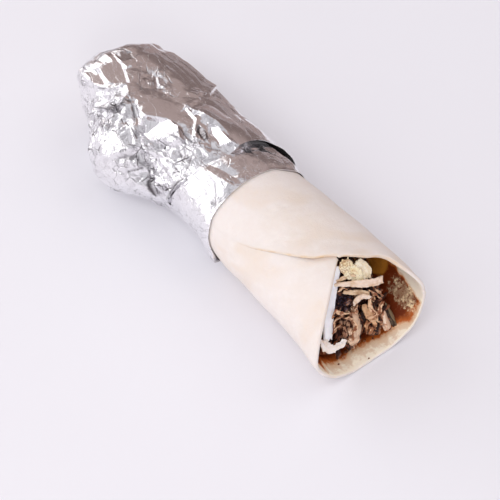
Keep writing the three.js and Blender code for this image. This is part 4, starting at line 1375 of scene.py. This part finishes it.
print("shreds and crumbs")
lump("meat_shreds", tornShreds(), saucyMeat, "meat_brown", "meat_filling", detail=3)
lump("meat_clumps", shreds["placed"], brownMeat, "meat_brown", "meat_filling", detail=5)
for number, (path, width, out) in enumerate(shreds["edges"]):
    shape = dict(path=path, width=width, out=out, seed=20 + number, **shreds["edgeShape"])
    ribbon(f"torn_edge_{number}", shape, tornEdge, "meat_light", "meat_filling", columns=60, rows=12)
for number, (path, width, out) in enumerate(shreds["scraps"]):
    shape = dict(path=path, width=width, out=out, seed=40 + number, **shreds["scrapShape"])
    ribbon(f"cabbage_scrap_{number}", shape, tanLeaf, "cabbage_stained", "meat_filling", columns=60, rows=12)

crumbs = dict(
    # what dropped on the lip: angle, Y and radius
    meat=[(-151, 7.4, 0.8), (-163, 8.6, 1.1), (-176, -2.4, 0.45), (-170, 9.6, 0.9), (176, 8, 0.8),
          (-148, 3.6, 0.5), (168, 6.6, 0.6)],
    cabbage=[(-158, 6.4, 1)],
    height=0.7,  # how high its middle lies, for each millimetre of radius
    sizes=(1.2, 0.9, 0.8),
)


def crumbsOnLip(name, places, material, slotName, node):
    bm = bmesh.new()
    layers = [bm.verts.layers.float.new(layer) for layer in lumpLayers]
    for number, (angle, y, radius) in enumerate(places):
        middle = rollPoint(angle, y, -bread["wall"] - crumbs["height"] * radius)
        made = bmesh.ops.create_icosphere(bm, subdivisions=4, radius=1)["verts"]
        unit = np.array([v.co for v in made])
        edge, tone = clumps(unit[:, 0] * 1.4 + 3 * number, unit[:, 1] * 1.4, unit[:, 2] * 1.4, 90)
        reach = radius * (0.7 + 0.5 * rise(edge, 0, 0.5))
        points = unit * reach[:, None] * crumbs["sizes"] + middle
        placeVerts(made, points, layers, (edge - 0.2, tone, 0 * tone, 0 * tone))
    dress(pieceOf(bm, name), material, slotName, node)


crumbsOnLip("crumbs", crumbs["meat"], brownMeat, "meat_brown", "meat_filling")
crumbsOnLip("cabbage_crumb", crumbs["cabbage"], tornEdge, "meat_light", "meat_filling")


# Floor, light and camera.

studio = dict(
    floorSize=6.0,
    floorDepth=0.0002,  # how far the floor lies under the wrap, and the card over it
    floorColour=rgb(235, 234, 239),
    floorShade=rgb(232, 231, 236),
    target=(0.0004656, -0.0225592, 0.0),  # what the camera and the lights face
    azimuth=-37.5,
    elevation=51.6,
    distance=0.9,
    lens=110.6,
    # what the foil mirrors: a bright left side with darker patches, and a dim right side and top
    brightSide=rgb(211, 209, 214),
    darkPatch=rgb(158, 154, 159),
    dimSide=rgb(166, 148, 144),
    dimLow=rgb(124, 108, 105),
    dimPlace=(105, 0),  # azimuth and elevation of its middle
    dimEdge=(0.2, 0.36),
    dimClimb=(0.2, 0.5),
    cardStart=0.19,  # how far from the middle the dull card lies, its size and how far it is turned
    cardSize=(1.0, 2.4),
    cardTurn=22,
    cardColour=rgb(152, 134, 130),
    # panes of the windows on the left
    windowAzimuths=(-188, -171, -154, -131, -114, -92),
    windowElevations=(13, 35),
    windowSize=(0.4, 0.5),
    windowPower=4.2,  # for each square metre
    windowColour=(1, 0.99, 0.99),
    lightDistance=1.6,
    # lights that the foil doesn't mirror: azimuth, elevation, size, power and colour
    softLights=dict(
        front_light=(-68, 60, (0.9, 0.9), 4.7, (1, 0.99, 0.995)),
        low_light=(-46, 7, (0.8, 0.3), 1.8, (1, 0.99, 0.985)),
        mouth_light=(-38, 34, (0.5, 0.4), 3.8, (1, 0.985, 0.975)),
        right_fill=(80, 50, (1.6, 1.2), 6.6, (0.95, 0.98, 1)),
    ),
)


def fromTarget(azimuth, elevation, distance):
    # a point seen from the target: azimuth 0 is in front of the mouth and grows towards +X
    flat = cosines(elevation) * distance
    offset = (sines(azimuth) * flat, -cosines(azimuth) * flat, sines(elevation) * distance)
    return Vector(studio["target"]) + Vector(offset)


def aim(piece, place):
    piece.location = place
    piece.rotation_euler = (Vector(studio["target"]) - place).to_track_quat("-Z", "Y").to_euler()
    bpy.context.scene.collection.objects.link(piece)


def softLight(name, azimuth, elevation, size, power, colour, mirrored=False):
    light = bpy.data.lights.new(name, "AREA")
    light.shape = "RECTANGLE"
    light.size, light.size_y = size
    light.energy = power
    light.color = colour
    lamp = bpy.data.objects.new(name, light)
    lamp.visible_glossy = mirrored
    aim(lamp, fromTarget(azimuth, elevation, studio["lightDistance"]))


def floorFinish():
    finish = Finish("pale floor", Roughness=1, Specular_IOR_Level=0)
    finish.set(Base_Color=finish.spots(300, 2).blend(studio["floorColour"], studio["floorShade"]))
    return finish.material


def layFloor():
    bm = bmesh.new()
    bmesh.ops.create_grid(bm, x_segments=2, y_segments=2, size=studio["floorSize"] / 2)
    bmesh.ops.translate(bm, verts=bm.verts, vec=(0, 0, -studio["floorDepth"]))
    floor = pieceOf(bm, "floor")
    floor.data.materials.append(floorFinish())


def layDullCard():
    # a dim sheet beside the wrap that only mirrors see
    bm = bmesh.new()
    length, width = studio["cardSize"]
    bmesh.ops.create_grid(bm, x_segments=1, y_segments=1, size=0.5)
    bmesh.ops.scale(bm, verts=bm.verts, vec=(length, width, 1))
    bmesh.ops.translate(bm, verts=bm.verts, vec=(studio["cardStart"] + length / 2, 0, studio["floorDepth"]))
    turn = Matrix.Rotation(math.radians(studio["cardTurn"]), 3, "Z")
    bmesh.ops.rotate(bm, verts=bm.verts, matrix=turn)
    dullCard = pieceOf(bm, "dull_card")
    paint = Finish("dull card", Roughness=0.8, Base_Color=studio["cardColour"])
    dullCard.data.materials.append(paint.material)
    dullCard.visible_camera = dullCard.visible_diffuse = dullCard.visible_shadow = False


def worldLight():
    world = bpy.data.worlds.new("studio")
    world.use_nodes = True
    bpy.context.scene.world = world
    wire = Wire(world.node_tree)
    dim = (fromTarget(*studio["dimPlace"], 1) - Vector(studio["target"])).normalized()
    direction = wire.node("ShaderNodeTexCoord", output=0)
    toDim = wire.node("ShaderNodeVectorMath", {"operation": "DOT_PRODUCT"}, {0: direction, 1: dim}, 1)
    climb = wire.node("ShaderNodeSeparateXYZ", None, {0: direction}, 2)
    cloud = wire.node("ShaderNodeTexNoise", None, {"Vector": direction, "Scale": 1.8, "Detail": 1.0})
    lit = (climb + 0.5 * (cloud - 0.5)).between(*studio["dimClimb"])
    things = wire.node("ShaderNodeTexNoise", None, {"Vector": direction, "Scale": 4.5, "Detail": 1.0})
    bright = things.between(0.57, 0.62).blend(studio["brightSide"], studio["darkPatch"])
    colour = toDim.between(*studio["dimEdge"]).blend(bright, lit.blend(studio["dimLow"], studio["dimSide"]))
    world.node_tree.links.new(colour.socket, world.node_tree.nodes["Background"].inputs["Color"])


print("floor, light and camera")
layFloor()
layDullCard()
worldLight()
size = studio["windowSize"]
power = studio["windowPower"] * size[0] * size[1]
panes = [(around, up) for around in studio["windowAzimuths"] for up in studio["windowElevations"]]
for number, (azimuth, elevation) in enumerate(panes):
    softLight(f"window_{number}", azimuth, elevation, size, power, studio["windowColour"], mirrored=True)
for name, settings in studio["softLights"].items():
    softLight(name, *settings)

lens = bpy.data.cameras.new("camera")
lens.lens = studio["lens"]
lens.sensor_width = 36
camera = bpy.data.objects.new("camera", lens)
aim(camera, fromTarget(studio["azimuth"], studio["elevation"], studio["distance"]))
bpy.context.scene.camera = camera
bpy.context.scene.view_settings.view_transform = "Standard"
